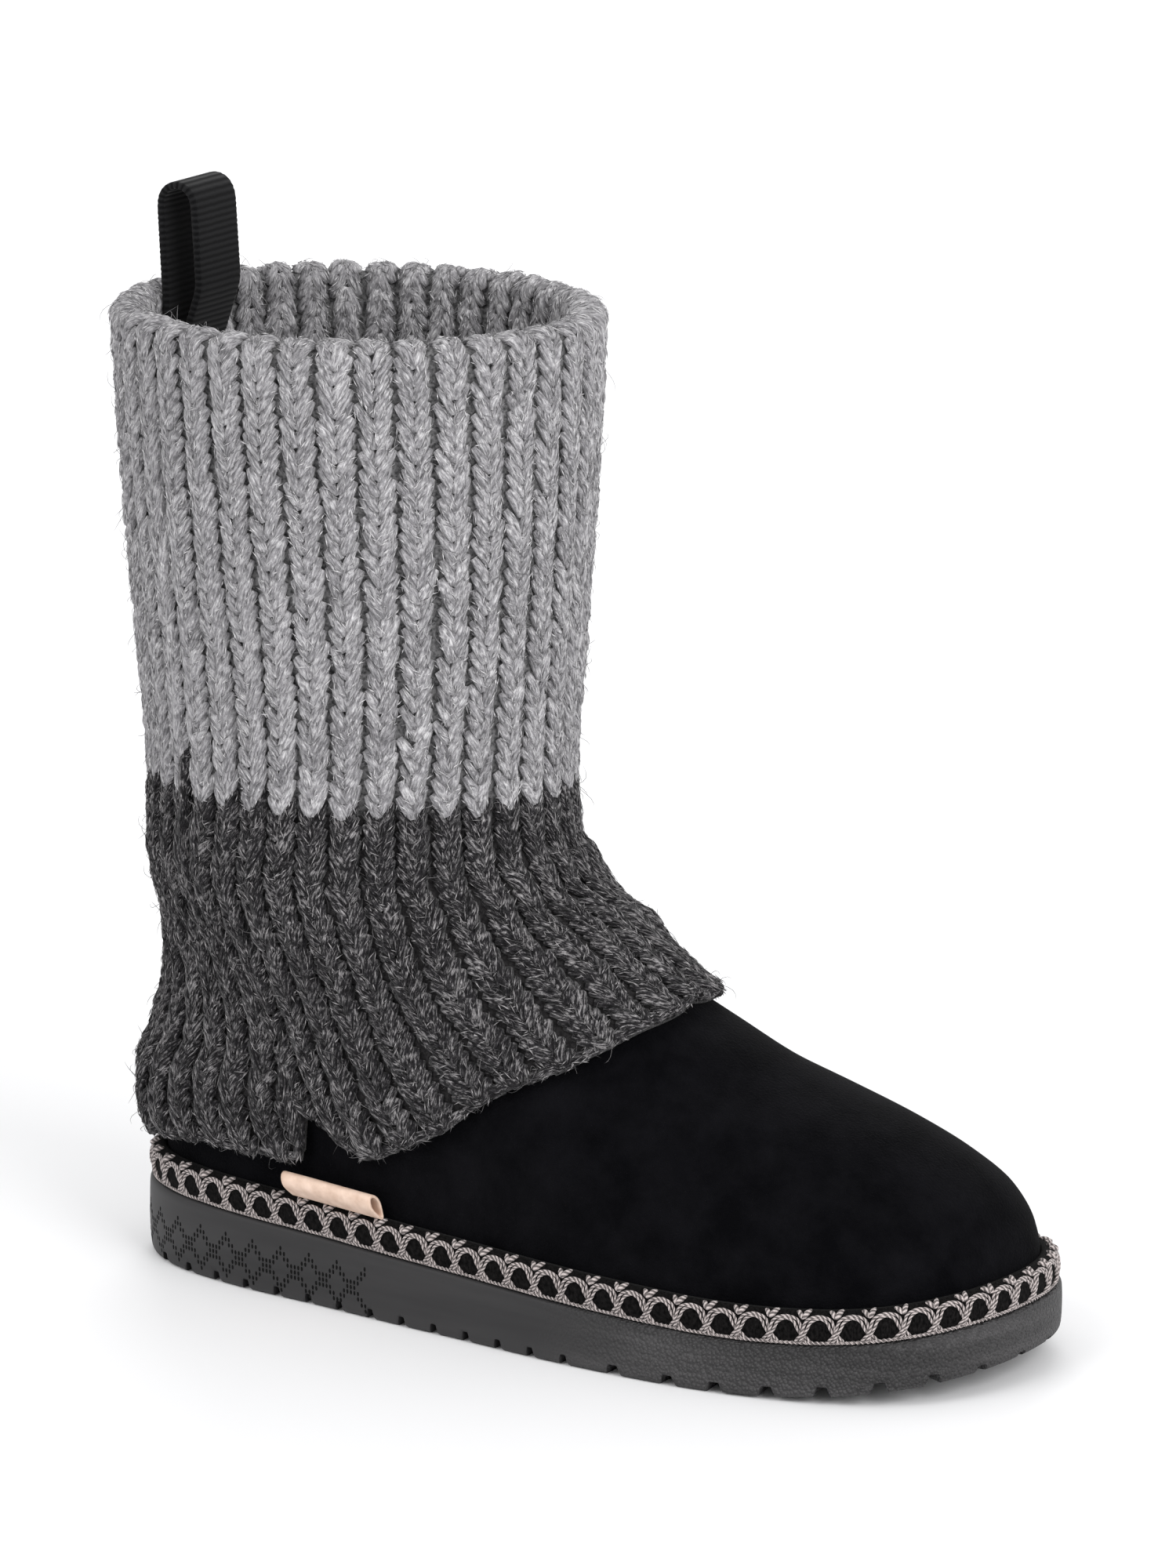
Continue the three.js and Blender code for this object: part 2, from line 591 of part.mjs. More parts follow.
// The pull loop: one webbing strap, folded over, with both ends down inside the back of the collar.
function makePullLoop() {
  const half = strapThickness / 2;
  const lining = upperWall + clearance + turnInWall; // from the suede's outer face to the knit's inner one
  const chord = Math.sqrt(1 - (loopWidth / 2 / (collarWidth / 2 - lining)) ** 2);
  const bow = (collarDepth / 2 - lining) * (1 - chord);
  const seat = (height) => ringCurve.back(ringAtHeight(height)) + lining + bow + clearance + half;
  const rim = collarHeight + clearance + knitWall;
  const foot = collarHeight - turnInDepth;
  const lean = (seat(foot) - seat(collarHeight)) / turnInDepth;
  const top = rim + loopHeight - half;
  const bend = (loopDepth - strapThickness) / 2;
  const ends = strapThickness + clearance;
  const outerTop = seat(collarHeight) - lean * (top - bend - collarHeight);
  const path = [
    new THREE.Vector2(seat(foot), foot),
    new THREE.Vector2(outerTop, top - bend),
    ...arcPoints(new THREE.Vector2(outerTop + bend, top - bend), bend, Math.PI, 0, bendSteps),
    new THREE.Vector2(seat(collarHeight) + 2 * bend, rim),
    new THREE.Vector2(seat(foot) - lean * sewnLength + ends, foot + sewnLength),
    new THREE.Vector2(seat(foot) + ends, foot),
  ];
  const strap = new THREE.ExtrudeGeometry(new THREE.Shape(stripOutline(path, half)), {
    depth: loopWidth,
    bevelEnabled: false,
    steps: 1,
  });
  strap.rotateX(Math.PI / 2);
  strap.translate(0, loopWidth / 2, 0);
  return solidOfGeometry(strap);
}

// Points along an arc after its first, from one angle to another.
function arcPoints(centre, radius, from, to, steps) {
  return Array.from({ length: steps }, (_, i) => {
    const angle = THREE.MathUtils.lerp(from, to, (i + 1) / steps);
    return new THREE.Vector2(centre.x + radius * Math.cos(angle), centre.y + radius * Math.sin(angle));
  });
}

// The closed outline of a strip that runs half its thickness to either side of a path.
function stripOutline(path, half) {
  const side = (sign) =>
    path.map((point, i) => {
      const before = path[Math.max(i - 1, 0)];
      const after = path[Math.min(i + 1, path.length - 1)];
      const run = after.clone().sub(before).normalize();
      return new THREE.Vector2(point.x - sign * half * run.y, point.y + sign * half * run.x);
    });
  return [...side(1), ...side(-1).reverse()];
}

const outsole = meshOf("outsole", makeOutsole(), rubber);
const upper = meshOf("upper", makeUpper(), suede);
const insole = meshOf("insole", makeInsole(), fleece);
const trim = meshOf("braid_trim", makeTrim(), braid);
const knitCover = meshOf("knit_cover", makeKnitCover(), wool);
const pullLoop = meshOf("pull_loop", makePullLoop(), webbing);
const sideTab = meshOf("side_tab", makeSideTab(), leather);

const boot = new THREE.Group();
boot.add(outsole, insole, upper, trim, knitCover, pullLoop, sideTab);
boot.position.x = -shaftMiddle;

export default boot;
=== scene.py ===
import math

import bmesh
import bpy
import numpy as np
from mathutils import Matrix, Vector


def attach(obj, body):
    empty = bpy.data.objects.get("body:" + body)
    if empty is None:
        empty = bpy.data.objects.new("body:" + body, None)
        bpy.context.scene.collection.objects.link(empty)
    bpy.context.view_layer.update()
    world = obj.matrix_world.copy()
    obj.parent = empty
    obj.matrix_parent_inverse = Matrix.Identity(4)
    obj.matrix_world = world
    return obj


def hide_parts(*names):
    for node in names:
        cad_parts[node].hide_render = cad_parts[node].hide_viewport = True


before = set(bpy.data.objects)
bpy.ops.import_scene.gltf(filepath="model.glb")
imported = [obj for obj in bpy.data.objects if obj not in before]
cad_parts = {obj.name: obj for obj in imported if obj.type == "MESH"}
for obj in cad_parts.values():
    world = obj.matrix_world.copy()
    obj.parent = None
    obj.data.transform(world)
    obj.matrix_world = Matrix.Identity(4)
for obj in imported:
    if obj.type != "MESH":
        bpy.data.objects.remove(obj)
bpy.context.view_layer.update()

# Camera. The photograph looks at the boot's outer side from a little in front and above, through a long
# lens about two metres away. The one boot fills the frame.
camera_place = Vector((1.105, -1.835, 0.669))
camera_aim = Vector((0.073, 0.0, 0.150))
camera_lens = 180.0
camera_reach = 50.0


def add_object(name, data):
    """A new object in the scene."""
    thing = bpy.data.objects.new(name, data)
    bpy.context.scene.collection.objects.link(thing)
    return thing


def look_from(thing, place):
    """Puts a camera or a light in its place and turns it to the boot."""
    thing.location = place
    thing.rotation_euler = (camera_aim - Vector(place)).to_track_quat("-Z", "Y").to_euler()


camera = add_object("camera", bpy.data.cameras.new("camera"))
camera.data.lens = camera_lens
camera.data.clip_end = camera_reach
look_from(camera, camera_place)
bpy.context.scene.camera = camera

# Outsole. One moulded rubber unit: a side wall with soft edges, a toe that springs up, bars across the
# tread, and a band of short engraved dashes round its heel. All shapes are worked out in millimetres from
# the back of the sole, and put into the frame's metres when a mesh is made.
sole_length = 280.0
ball_width = 107.0
heel_thickness = 22.5
toe_thickness = 13.5
toe_spring = 8.0
spring_start = 0.7
taper_curve = 0.35
ledge = 6.5
clearance = 0.3
trim_clearance = 0.5
shaft_middle = 67.0
groove_spacing = 11.2
groove_width = 2.4
groove_depth = 3.2
groove_taper = 0.6
groove_rounding = 0.3
plain_tread = 10.0
fan_start = 0.6  # share of the length from which the grooves fan out round the forefoot
fan_spacing = 15.6
fan_length = 24.0
fan_width = 4.0
sole_columns = 432
toe_grain_and_highlight = (0.085, 0.125)  # where the grain and the painted toe highlight start and where they are full, in metres in the frame

# along, outer, inner and middle, as shares of the length and of the ball width
sole_outline = [
    (0.00, 0.600, 0.600, 0.000),
    (0.06, 0.540, 0.550, 0.000),
    (0.15, 0.475, 0.455, 0.000),
    (0.28, 0.435, 0.370, 0.000),
    (0.42, 0.452, 0.345, 0.000),
    (0.56, 0.508, 0.400, 0.006),
    (0.70, 0.590, 0.495, 0.020),
    (0.82, 0.690, 0.585, 0.035),
    (0.92, 0.820, 0.680, 0.045),
    (1.00, 0.930, 0.760, 0.050),
]

# up the wall and inset from the outline, in shares and millimetres
sole_wall = [
    (0.0, 1.8), (0.03, 0.9), (0.08, 0.45), (0.22, 0.15), (0.6, 0.0), (0.9, 0.15), (0.97, 0.4), (1.0, 1.1),
]


def curve_of(rows, column):
    """A smooth curve through one column of a table, read against its first column, with no overshoot."""
    at = np.array([row[0] for row in rows], float)
    value = np.array([row[column] for row in rows], float)
    rate = np.diff(value) / np.diff(at)
    before = np.concatenate([rate[:1], rate])
    after = np.concatenate([rate, rate[-1:]])
    together = before * after > 0
    slope = np.where(together, 2 * before * after / np.where(together, before + after, 1), 0)

    def read(x):
        i = np.clip(np.searchsorted(at, x) - 1, 0, len(at) - 2)
        span = at[i + 1] - at[i]
        t = np.clip((x - at[i]) / span, 0, 1)
        return ((2 * t**3 - 3 * t**2 + 1) * value[i] + (t**3 - 2 * t**2 + t) * span * slope[i]
                + (3 * t**2 - 2 * t**3) * value[i + 1] + (t**3 - t**2) * span * slope[i + 1])

    return read


def lerp(a, b, share):
    return a + (b - a) * share


def smooth_step(x, low, high):
    t = np.clip((x - low) / (high - low), 0, 1)
    return t * t * (3 - 2 * t)


def share_along(angle):
    """Where an angle lies from heel to toe. 0 is the back, pi the front, and the outer side comes first."""
    return (1 - np.cos(angle)) / 2


def unit(vectors):
    return vectors / np.linalg.norm(vectors, axis=-1, keepdims=True)


def route_along(points):
    """Distances from the start of a line of points."""
    steps = np.linalg.norm(np.diff(points, axis=0), axis=1)
    return np.concatenate([[0], np.cumsum(steps)])


outline_outer, outline_inner, outline_middle = [curve_of(sole_outline, column) for column in (1, 2, 3)]


def outline_point(angle):
    along = share_along(angle)
    half = np.where(np.sin(angle) >= 0, outline_outer(along), outline_inner(along))
    y = ball_width * (outline_middle(along) - half * np.sin(angle))
    return np.stack([sole_length * along, y], axis=-1)


def inset_outline(angle, inset):
    step = 0.01
    run = unit(outline_point(angle + step) - outline_point(angle - step))
    inward = np.stack([-run[..., 1], run[..., 0]], axis=-1)
    return outline_point(angle) + inward * np.asarray(inset)[..., None]


def tread_height(x):
    past = np.clip((x / sole_length - spring_start) / (1 - spring_start), 0, 1)
    return toe_spring * past**2


def sole_thickness(x):
    along = np.clip(x / sole_length, 0, 1)
    return lerp(heel_thickness, toe_thickness, lerp(along, smooth_step(along, 0, 1), taper_curve))


def sole_top(x):
    return tread_height(x) + sole_thickness(x)


def in_frame(points):
    """Millimetres from the back of the sole, as metres in the frame."""
    return (np.asarray(points) - (shaft_middle, 0, 0)) / 1000


def ring_angles(columns):
    return np.linspace(0, 2 * math.pi, columns + 1)


def mesh_object(name, shape):
    """An object made of a bmesh, which is freed."""
    mesh = bpy.data.meshes.new(name)
    shape.to_mesh(mesh)
    shape.free()
    return add_object(name, mesh)


def loft(name, points, values=None):
    """A grid laid over rows and columns of points, with its meeting edges welded. values go to 'shade'."""
    rows, columns = points.shape[:2]
    shape = bmesh.new()
    shape.loops.layers.uv.new("UVMap")
    shade = shape.verts.layers.float.new("shade")
    bmesh.ops.create_grid(shape, x_segments=columns - 1, y_segments=rows - 1, size=1, calc_uvs=True)
    flat = in_frame(points).reshape(-1, 3)
    tone = np.zeros(len(flat)) if values is None else values.reshape(-1)
    for vertex, place, value in zip(shape.verts, flat, tone):
        vertex.co = place
        vertex[shade] = value
    bmesh.ops.remove_doubles(shape, verts=shape.verts, dist=2e-6)
    bmesh.ops.dissolve_degenerate(shape, edges=shape.edges, dist=1e-7)
    bmesh.ops.recalc_face_normals(shape, faces=shape.faces)
    piece = mesh_object(name, shape)
    piece.data.shade_smooth()
    return piece


def finish_of(name, colour, roughness, sheen=0.0, sheen_roughness=0.5, specular=0.5):
    """A material with one shader, whose even values sit on the shader itself."""
    material = bpy.data.materials.new(name)
    material.use_nodes = True
    shader = material.node_tree.nodes["Principled BSDF"]
    shader.inputs["Base Color"].default_value = (*colour, 1)
    shader.inputs["Roughness"].default_value = roughness
    shader.inputs["Sheen Weight"].default_value = sheen
    shader.inputs["Sheen Roughness"].default_value = sheen_roughness
    shader.inputs["Specular IOR Level"].default_value = specular
    return material, material.node_tree, shader


def add_node(tree, kind, inputs=None, **settings):
    node = tree.nodes.new("ShaderNode" + kind)
    for key, value in settings.items():
        setattr(node, key, value)
    for key, value in (inputs or {}).items():
        if isinstance(value, bpy.types.NodeSocket):
            tree.links.new(value, node.inputs[key])
        else:
            node.inputs[key].default_value = value
    return node


def colour_steps(tree, factor, stops):
    """A colour ramp with stops of place and colour."""
    ramp = add_node(tree, "ValToRGB", {"Fac": factor})
    while len(ramp.color_ramp.elements) < len(stops):
        ramp.color_ramp.elements.new(1.0)
    for element, (place, colour) in zip(ramp.color_ramp.elements, stops):
        element.position = place
        element.color = (*colour, 1)
    return ramp.outputs["Color"]


def texture_place(tree, kind="Object"):
    return add_node(tree, "TexCoord").outputs[kind]


def stretched(tree, place, scale):
    """Texture places scaled by different amounts along each way."""
    return add_node(tree, "Mapping", {"Vector": place, "Scale": scale}).outputs["Vector"]


def noise(tree, place, scale, detail, **more):
    """The value of a noise texture. more names its other inputs."""
    inputs = {"Vector": place, "Scale": scale, "Detail": detail, **more}
    return add_node(tree, "TexNoise", inputs).outputs["Fac"]


def combined(tree, operation, *values):
    return add_node(tree, "Math", dict(enumerate(values)), operation=operation).outputs[0]


def paint(tree, shader, factor, stops):
    tree.links.new(colour_steps(tree, factor, stops), shader.inputs["Base Color"])


def emboss(tree, shader, height, strength, distance, invert=False):
    """A relief on the surface, with its depth in metres."""
    inputs = {"Strength": strength, "Distance": distance, "Height": height}
    bump = add_node(tree, "Bump", inputs, invert=invert)
    tree.links.new(bump.outputs["Normal"], shader.inputs["Normal"])


def tread_grooves():
    """The grooves' two ends in plan and their widths: straight across, then in a fan round the forefoot."""
    first = math.ceil((plain_tread - shaft_middle) / groove_spacing - 0.5)
    last = math.floor((fan_start * sole_length - shaft_middle) / groove_spacing - 0.5)
    found = []
    for n in range(first, last + 1):
        x = shaft_middle + (n + 0.5) * groove_spacing
        found.append((np.array([x, -ball_width]), np.array([x, ball_width]), groove_width))
    fine = ring_angles(384)[:-1]
    fine = fine[outline_point(fine)[:, 0] > x]
    route = route_along(outline_point(fine))
    count = round(route[-1] / fan_spacing)
    for n in range(1, count):
        angle = fine[np.searchsorted(route, route[-1] * n / count)]
        found.append((inset_outline(angle, -fan_length), inset_outline(angle, fan_length), fan_width))
    return found


def toward_middle(edge, share):
    """A closed line drawn in towards the middle of what it goes round."""
    return lerp(edge, (edge + edge[::-1]) / 2, share)


def make_outsole():
    angles = ring_angles(sole_columns)
    inset_at = curve_of(sole_wall, 1)
    levels = [0, 0.015, 0.03, 0.05, 0.08, 0.14, 0.22, 0.35, 0.5, 0.65, 0.8, 0.9, 0.95, 0.98, 1]
    wall = []
    for up in levels:
        flat = inset_outline(angles, inset_at(up))
        z = tread_height(flat[:, 0]) + up * sole_thickness(flat[:, 0])
        wall.append(np.column_stack([flat, z]))
    under = [toward_middle(wall[0], share) for share in (1, 0.7, 0.35)]
    over = [toward_middle(wall[-1], share) for share in (0.35, 0.7, 1)]
    sole = loft("outsole_rubber", np.stack(under + wall + over))

    cutter = bmesh.new()
    for start, end, width in tread_grooves():
        run = unit(end - start)
        across = np.array([run[1], -run[0]])
        groove = bmesh.ops.create_cube(cutter, size=1)["verts"]
        for vertex in groove:
            up = vertex.co.z * 2
            half = width / 2 * (1 + groove_taper * (0.5 - up))
            foot = start if vertex.co.y < 0 else end
            place = foot + across * math.copysign(half, vertex.co.x)
            vertex.co = in_frame((*place, tread_height(foot[0]) + up * groove_depth))
        length = np.linalg.norm(end - start) / 1000
        edges = {edge for vertex in groove for edge in vertex.link_edges}
        edges = [edge for edge in edges if edge.calc_length() > 0.9 * length]
        roof = sorted(edges, key=lambda edge: -edge.verts[0].co.z - edge.verts[1].co.z)[:2]
        bmesh.ops.bevel(cutter, geom=roof, offset=groove_rounding / 1000, segments=2, profile=0.5,
                        affect="EDGES", material=-1)
    grooves = mesh_object("grooves", cutter)
    cut = sole.modifiers.new("tread", "BOOLEAN")
    cut.object = grooves
    cut.solver = "EXACT"
    graph = bpy.context.evaluated_depsgraph_get()
    cut_mesh = bpy.data.meshes.new_from_object(sole.evaluated_get(graph))
    sole.modifiers.clear()
    sole.data = cut_mesh
    bpy.data.objects.remove(grooves)
    return sole


def rubber_material():
    """Charcoal rubber: satin, faintly streaked along the mould, with a pebbled grain at the toe, and the
    toe painted lighter as painted highlight.
    """
    material, tree, shader = finish_of("sole_rubber", (0.04, 0.04, 0.042), 0.55, specular=0.4)
    place = texture_place(tree)
    cloud = noise(tree, stretched(tree, place, (14.0, 14.0, 160.0)), 1.0, 4.0)
    turned = add_node(tree, "Mapping", {"Vector": place, "Rotation": (0.8, 0.8, 0.0)})
    pebble = add_node(tree, "TexVoronoi", {"Vector": turned.outputs["Vector"], "Scale": 950.0,
                                           "Randomness": 0.75})
    split = add_node(tree, "SeparateXYZ", {"Vector": place})
    toe = add_node(tree, "MapRange", {"Value": split.outputs["X"], "From Min": toe_grain_and_highlight[0],
                                      "From Max": toe_grain_and_highlight[1], "To Min": 0.0, "To Max": 1.0}, clamp=True)
    toe = toe.outputs["Result"]
    # The toe is painted lighter on top of the streaks, as painted highlight.
    streaks_and_toe_highlight = combined(tree, "MULTIPLY_ADD", toe, 0.3, cloud)
    paint(tree, shader, streaks_and_toe_highlight, [(0.3, (0.0165, 0.016, 0.017)), (0.7, (0.0285, 0.0275, 0.0285)),
                                 (1.0, (0.062, 0.0595, 0.0615))])
    grain = combined(tree, "MULTIPLY", pebble.outputs["Distance"], toe)
    emboss(tree, shader, grain, 1.0, 0.0012, invert=True)
    return material


outsole = make_outsole()
outsole.data.materials.clear()
outsole.data.materials.append(rubber_material())
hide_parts("outsole")
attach(outsole, "root")

# Engraved dashes. Two zigzags of short upright strokes cross all round the heel and make a row of open
# diamonds, each line of strokes two deep. The relief is too low to see, so each is a stroke painted near
# black, as painted shade in the engraving, that lies almost flush with the rubber.
dash_zone = 94.0  # from the back of the sole to where the band ends
diamond_length = 10.2
dash_columns = 8  # across one diamond
dash_rise = 1.55
dash_size = (0.78, 1.25)
dash_depth = 0.07
dash_middle = 0.42  # share of the sole's thickness
yarn_start = 3.7  # how much farther along its texture each strand starts than the one before
yarn_length = 70


def joined_mesh(name, vertices, corners, sizes, uv=None, tone=None):
    """One mesh from arrays: vertices in millimetres, the corners of its faces and how many each has."""
    mesh = bpy.data.meshes.new(name)
    mesh.vertices.add(len(vertices))
    mesh.vertices.foreach_set("co", in_frame(vertices).astype(np.float32).ravel())
    mesh.loops.add(len(corners))
    mesh.loops.foreach_set("vertex_index", corners.astype(np.int32))
    mesh.polygons.add(len(sizes))
    starts = np.concatenate([[0], np.cumsum(sizes)[:-1]])
    mesh.polygons.foreach_set("loop_start", starts.astype(np.int32))
    mesh.update(calc_edges=True)
    if uv is not None:
        layer = mesh.uv_layers.new(name="UVMap")
        layer.data.foreach_set("uv", uv.astype(np.float32).ravel())
    if tone is not None:
        layer = mesh.attributes.new("shade", "FLOAT", "POINT")
        layer.data.foreach_set("value", tone.astype(np.float32))
    mesh.shade_smooth()
    return add_object(name, mesh)


def strands(name, path, out, width, height, sides, tone=None):
    """Many closed strands in one mesh. path and out are strands x steps x 3, the others strands x steps."""
    count, steps = path.shape[:2]
    run = unit(np.gradient(path, axis=1))
    side = unit(np.cross(run, out))
    lift = np.cross(side, run)
    turn = 2 * math.pi * np.arange(sides) / sides
    ring = path[:, :, None]
    ring = ring + (width[..., None] * np.cos(turn))[..., None] * side[:, :, None]
    ring = ring + (height[..., None] * np.sin(turn))[..., None] * lift[:, :, None]
    vertices = ring.reshape(-1, 3)
    k = np.arange(sides)
    step = np.arange(steps - 1)[:, None] * sides
    following = (k + 1) % sides
    quads = np.stack([step + k, step + sides + k, step + sides + following, step + following], axis=-1)
    quads = quads.reshape(-1, 4)
    last_end = ((steps - 1) * sides + k)[::-1]
    one = np.concatenate([quads.ravel(), k, last_end])
    corners = (one[None] + (np.arange(count) * steps * sides)[:, None]).ravel()
    sizes = np.tile(np.concatenate([np.full(len(quads), 4), [sides, sides]]), count)
    lengths = np.linalg.norm(np.diff(path, axis=1), axis=2)
    far = np.concatenate([np.zeros((count, 1)), np.cumsum(lengths, axis=1)], axis=1)
    far = far + (np.arange(count) * yarn_start % yarn_length)[:, None]
    low, high = np.repeat(far[:, :-1], sides, axis=1), np.repeat(far[:, 1:], sides, axis=1)
    around = np.broadcast_to(np.tile(k / sides, steps - 1), low.shape)
    nearer = around + 1 / sides
    pairs = (low, around), (high, around), (high, nearer), (low, nearer)
    faces = np.stack([np.stack(pair, -1) for pair in pairs], axis=2).reshape(count, -1, 2)
    ends = np.stack([np.repeat(far[:, [0, -1]], sides, axis=1), np.tile(k / sides, (count, 2))], -1)
    uv = np.concatenate([faces, ends], axis=1).reshape(-1, 2)
    shade = None if tone is None else np.repeat(tone, steps * sides)
    return joined_mesh(name, vertices, corners, sizes, uv, shade)


def make_dashes():
    angles = np.linspace(-math.pi / 2, math.pi / 2, 1201)
    edge = outline_point(angles)
    length = route_along(edge)
    inside = edge[:, 0] < dash_zone
    start, end = length[inside][0], length[inside][-1]
    diamonds = int((end - start) / diamond_length)
    start += (end - start - diamonds * diamond_length) / 2
    places = []
    for i in range(diamonds * dash_columns + 1):
        row = abs(i % dash_columns - dash_columns // 2)
        for rise in {row, row - 1, -row, 1 - row}:
            places.append((start + i * diamond_length / dash_columns, rise * dash_rise))
    places = np.array(places)
    at = np.interp(places[:, 0], length, angles)
    middle = dash_middle * sole_thickness(np.interp(at, angles, edge[:, 0])) + places[:, 1]
    stroke = np.linspace(-0.5, 0.5, 4)
    z = middle[:, None] + stroke * dash_size[1]
    foot = outline_point(at)
    run = unit(outline_point(at + 0.01) - outline_point(at - 0.01))
    out = np.column_stack([run[:, 1], -run[:, 0], 0 * at])
    inset = curve_of(sole_wall, 1)(z / sole_thickness(foot[:, :1]))
    path = np.concatenate([np.repeat(foot[:, None], 4, axis=1), z[..., None]], axis=-1)
    path = path - out[:, None] * inset[..., None]
    round_off = np.array([0.5, 1, 1, 0.5])
    width = np.full(z.shape, dash_size[0] / 2) * round_off
    height = np.full(z.shape, dash_depth)
    return strands("heel_dashes", path, np.repeat(out[:, None], 4, axis=1), width, height, 4)


heel_dashes = make_dashes()
# Each stroke is painted near black, as painted shade inside the engraving.
heel_dashes.data.materials.append(finish_of("dash_painted_shade", (0.006, 0.006, 0.006), 0.9, specular=0.1)[0])
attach(heel_dashes, "root")

# Upper. One shell of black suede, foot and shaft in one, lasted round the footbed and glued into the sole's
# ledge. Its face has a short nap; inside it is lined with dark fleece. Its rings run from the sole's top to
# the collar, and every other soft piece is measured off its outer face.
upper_wall = 2.4
instep_rise = 95.0
collar_height = 275.0
collar_size = (131.0, 120.0)
ankle_size = (115.0, 98.0)

# heel and front along the foot, heel and front rise as shares of the instep's, outer and inner half-widths
# as shares of the ball width, round from outline to ellipse, follow for the sole's curve
foot_rings = [
    (0.000, 1.0000, 0.000, 0.000, 0.459, 0.420, 0.00, 1.00),
    (-0.005, 1.0010, 0.095, 0.095, 0.466, 0.427, 0.00, 1.00),
    (-0.010, 0.9955, 0.223, 0.174, 0.472, 0.433, 0.05, 0.90),
    (-0.011, 0.9775, 0.318, 0.274, 0.460, 0.422, 0.20, 0.70),
    (-0.007, 0.9420, 0.402, 0.363, 0.434, 0.400, 0.45, 0.45),
    (-0.001, 0.8895, 0.476, 0.442, 0.408, 0.378, 0.68, 0.20),
    (0.005, 0.8260, 0.549, 0.507, 0.390, 0.363, 0.85, 0.00),
    (0.009, 0.7547, 0.623, 0.574, 0.380, 0.354, 0.95, 0.00),
    (0.012, 0.6870, 0.697, 0.658, 0.378, 0.356, 1.00, 0.00),
    (0.013, 0.6200, 0.776, 0.737, 0.388, 0.370, 1.00, 0.00),
    (0.013, 0.5524, 0.860, 0.847, 0.406, 0.394, 1.00, 0.00),
    (0.012, 0.4890, 0.949, 0.980, 0.438, 0.434, 1.00, 0.00),
]

# up the shaft, and the shares of the way from the ankle's depth and width to the collar's
shaft_rings = [(0.06, 0.12, 0.0), (0.18, 0.0, 0.02), (0.4, 0.28, 0.3), (0.7, 0.7, 0.7), (1.0, 1.0, 1.0)]
upper_crown = 0.5  # how far the collar's rounded edge stands above its ring
lowest_whole_ring = 8  # below it the rings lie closer together

foot_start = ledge
foot_length = sole_length - 2 * ledge
feather_heel = sole_top(foot_start) + clearance
feather_toe = sole_top(foot_start + foot_length) + clearance
feather_line = inset_outline(ring_angles(96), ledge)
feather_outer = -feather_line[:, 1].min()
feather_inner = feather_line[:, 1].max()
ankle_bend = feather_heel + instep_rise


def suede_rings():
    rings = []
    for heel, front, heel_up, front_up, outer, inner, rounded, follow in foot_rings:
        rings.append((foot_start + heel * foot_length, foot_start + front * foot_length,
                      feather_heel + heel_up * instep_rise, feather_toe + front_up * instep_rise,
                      outer * ball_width, inner * ball_width, rounded, follow))
    for up, deep, wide in shaft_rings:
        depth = lerp(ankle_size[0], collar_size[0], deep)
        width = lerp(ankle_size[1], collar_size[1], wide)
        height = lerp(ankle_bend, collar_height, up)
        rings.append((shaft_middle - depth / 2, shaft_middle + depth / 2, height, height,
                      width / 2, width / 2, 1, 0))
    return [(number, *ring) for number, ring in enumerate(rings)]


rings = suede_rings()
collar_ring = len(rings) - 1
ring_back, ring_front, ring_back_up, ring_front_up, ring_outer, ring_inner, ring_round, ring_follow = [
    curve_of(rings, column) for column in range(1, 9)]


def suede_point(angle, ring):
    """A point of the suede's outer face, at an angle round the boot and a ring number up it."""
    foot = inset_outline(angle, ledge)
    foot_along = (foot[..., 0] - foot_start) / foot_length
    rounded = ring_round(ring)
    share = lerp(foot_along, share_along(angle), rounded)
    foot_side = foot[..., 1] / np.where(foot[..., 1] < 0, feather_outer, feather_inner)
    side = lerp(foot_side, -np.sin(angle), rounded)
    x = lerp(ring_back(ring), ring_front(ring), share)
    y = side * np.where(side < 0, ring_outer(ring), ring_inner(ring))
    sag = sole_top(foot[..., 0]) + clearance - lerp(feather_heel, feather_toe, foot_along)
    z = lerp(ring_back_up(ring), ring_front_up(ring), share) + ring_follow(ring) * sag
    return np.stack([x, y, z], axis=-1)


def suede_normal(angle, ring, flat=False):
    low = np.maximum(ring - 0.05, 0)
    high = np.minimum(ring + 0.05, collar_ring)
    across = suede_point(angle + 0.02, ring) - suede_point(angle - 0.02, ring)
    normal = unit(np.cross(across, suede_point(angle, high) - suede_point(angle, low)))
    if flat:
        normal = unit(normal * (1, 1, 0))
    return normal


def suede_offset(angle, ring, distance, flat=False):
    return suede_point(angle, ring) + suede_normal(angle, ring, flat) * np.asarray(distance)[..., None]


def ring_at_height(height):
    numbers = np.linspace(len(foot_rings), collar_ring, 400)
    return np.interp(height, ring_back_up(numbers), numbers)


def on_sole(angle, rise, distance):
    """A point beside the suede's foot, at a height above the sole's own top there."""
    point = suede_offset(angle, rise / (foot_rings[1][2] * instep_rise), distance, flat=True)
    point[..., 2] = sole_top(point[..., 0]) + clearance + rise
    return point


def make_upper():
    angles = ring_angles(192)
    fine = lowest_whole_ring
    outer_rings = np.concatenate([np.linspace(0, fine, 65), np.linspace(fine + 0.3, collar_ring, 24)])
    inner_rings = np.concatenate([np.linspace(collar_ring, fine, 24), np.linspace(fine - 0.4, 0, 20)])
    ends = (0, collar_ring)
    rows = [suede_offset(angles, ring, 0.0, flat=ring in ends) for ring in outer_rings]
    rows.append(suede_offset(angles, collar_ring, -upper_wall / 2, flat=True) + (0, 0, upper_crown))
    rows += [suede_offset(angles, ring, -upper_wall, flat=ring in ends) for ring in inner_rings]
    rows.append(rows[0])
    inside = np.zeros((len(rows), len(angles)))
    inside[len(outer_rings) + 1:-1] = 1
    return loft("upper_suede", np.stack(rows), inside)


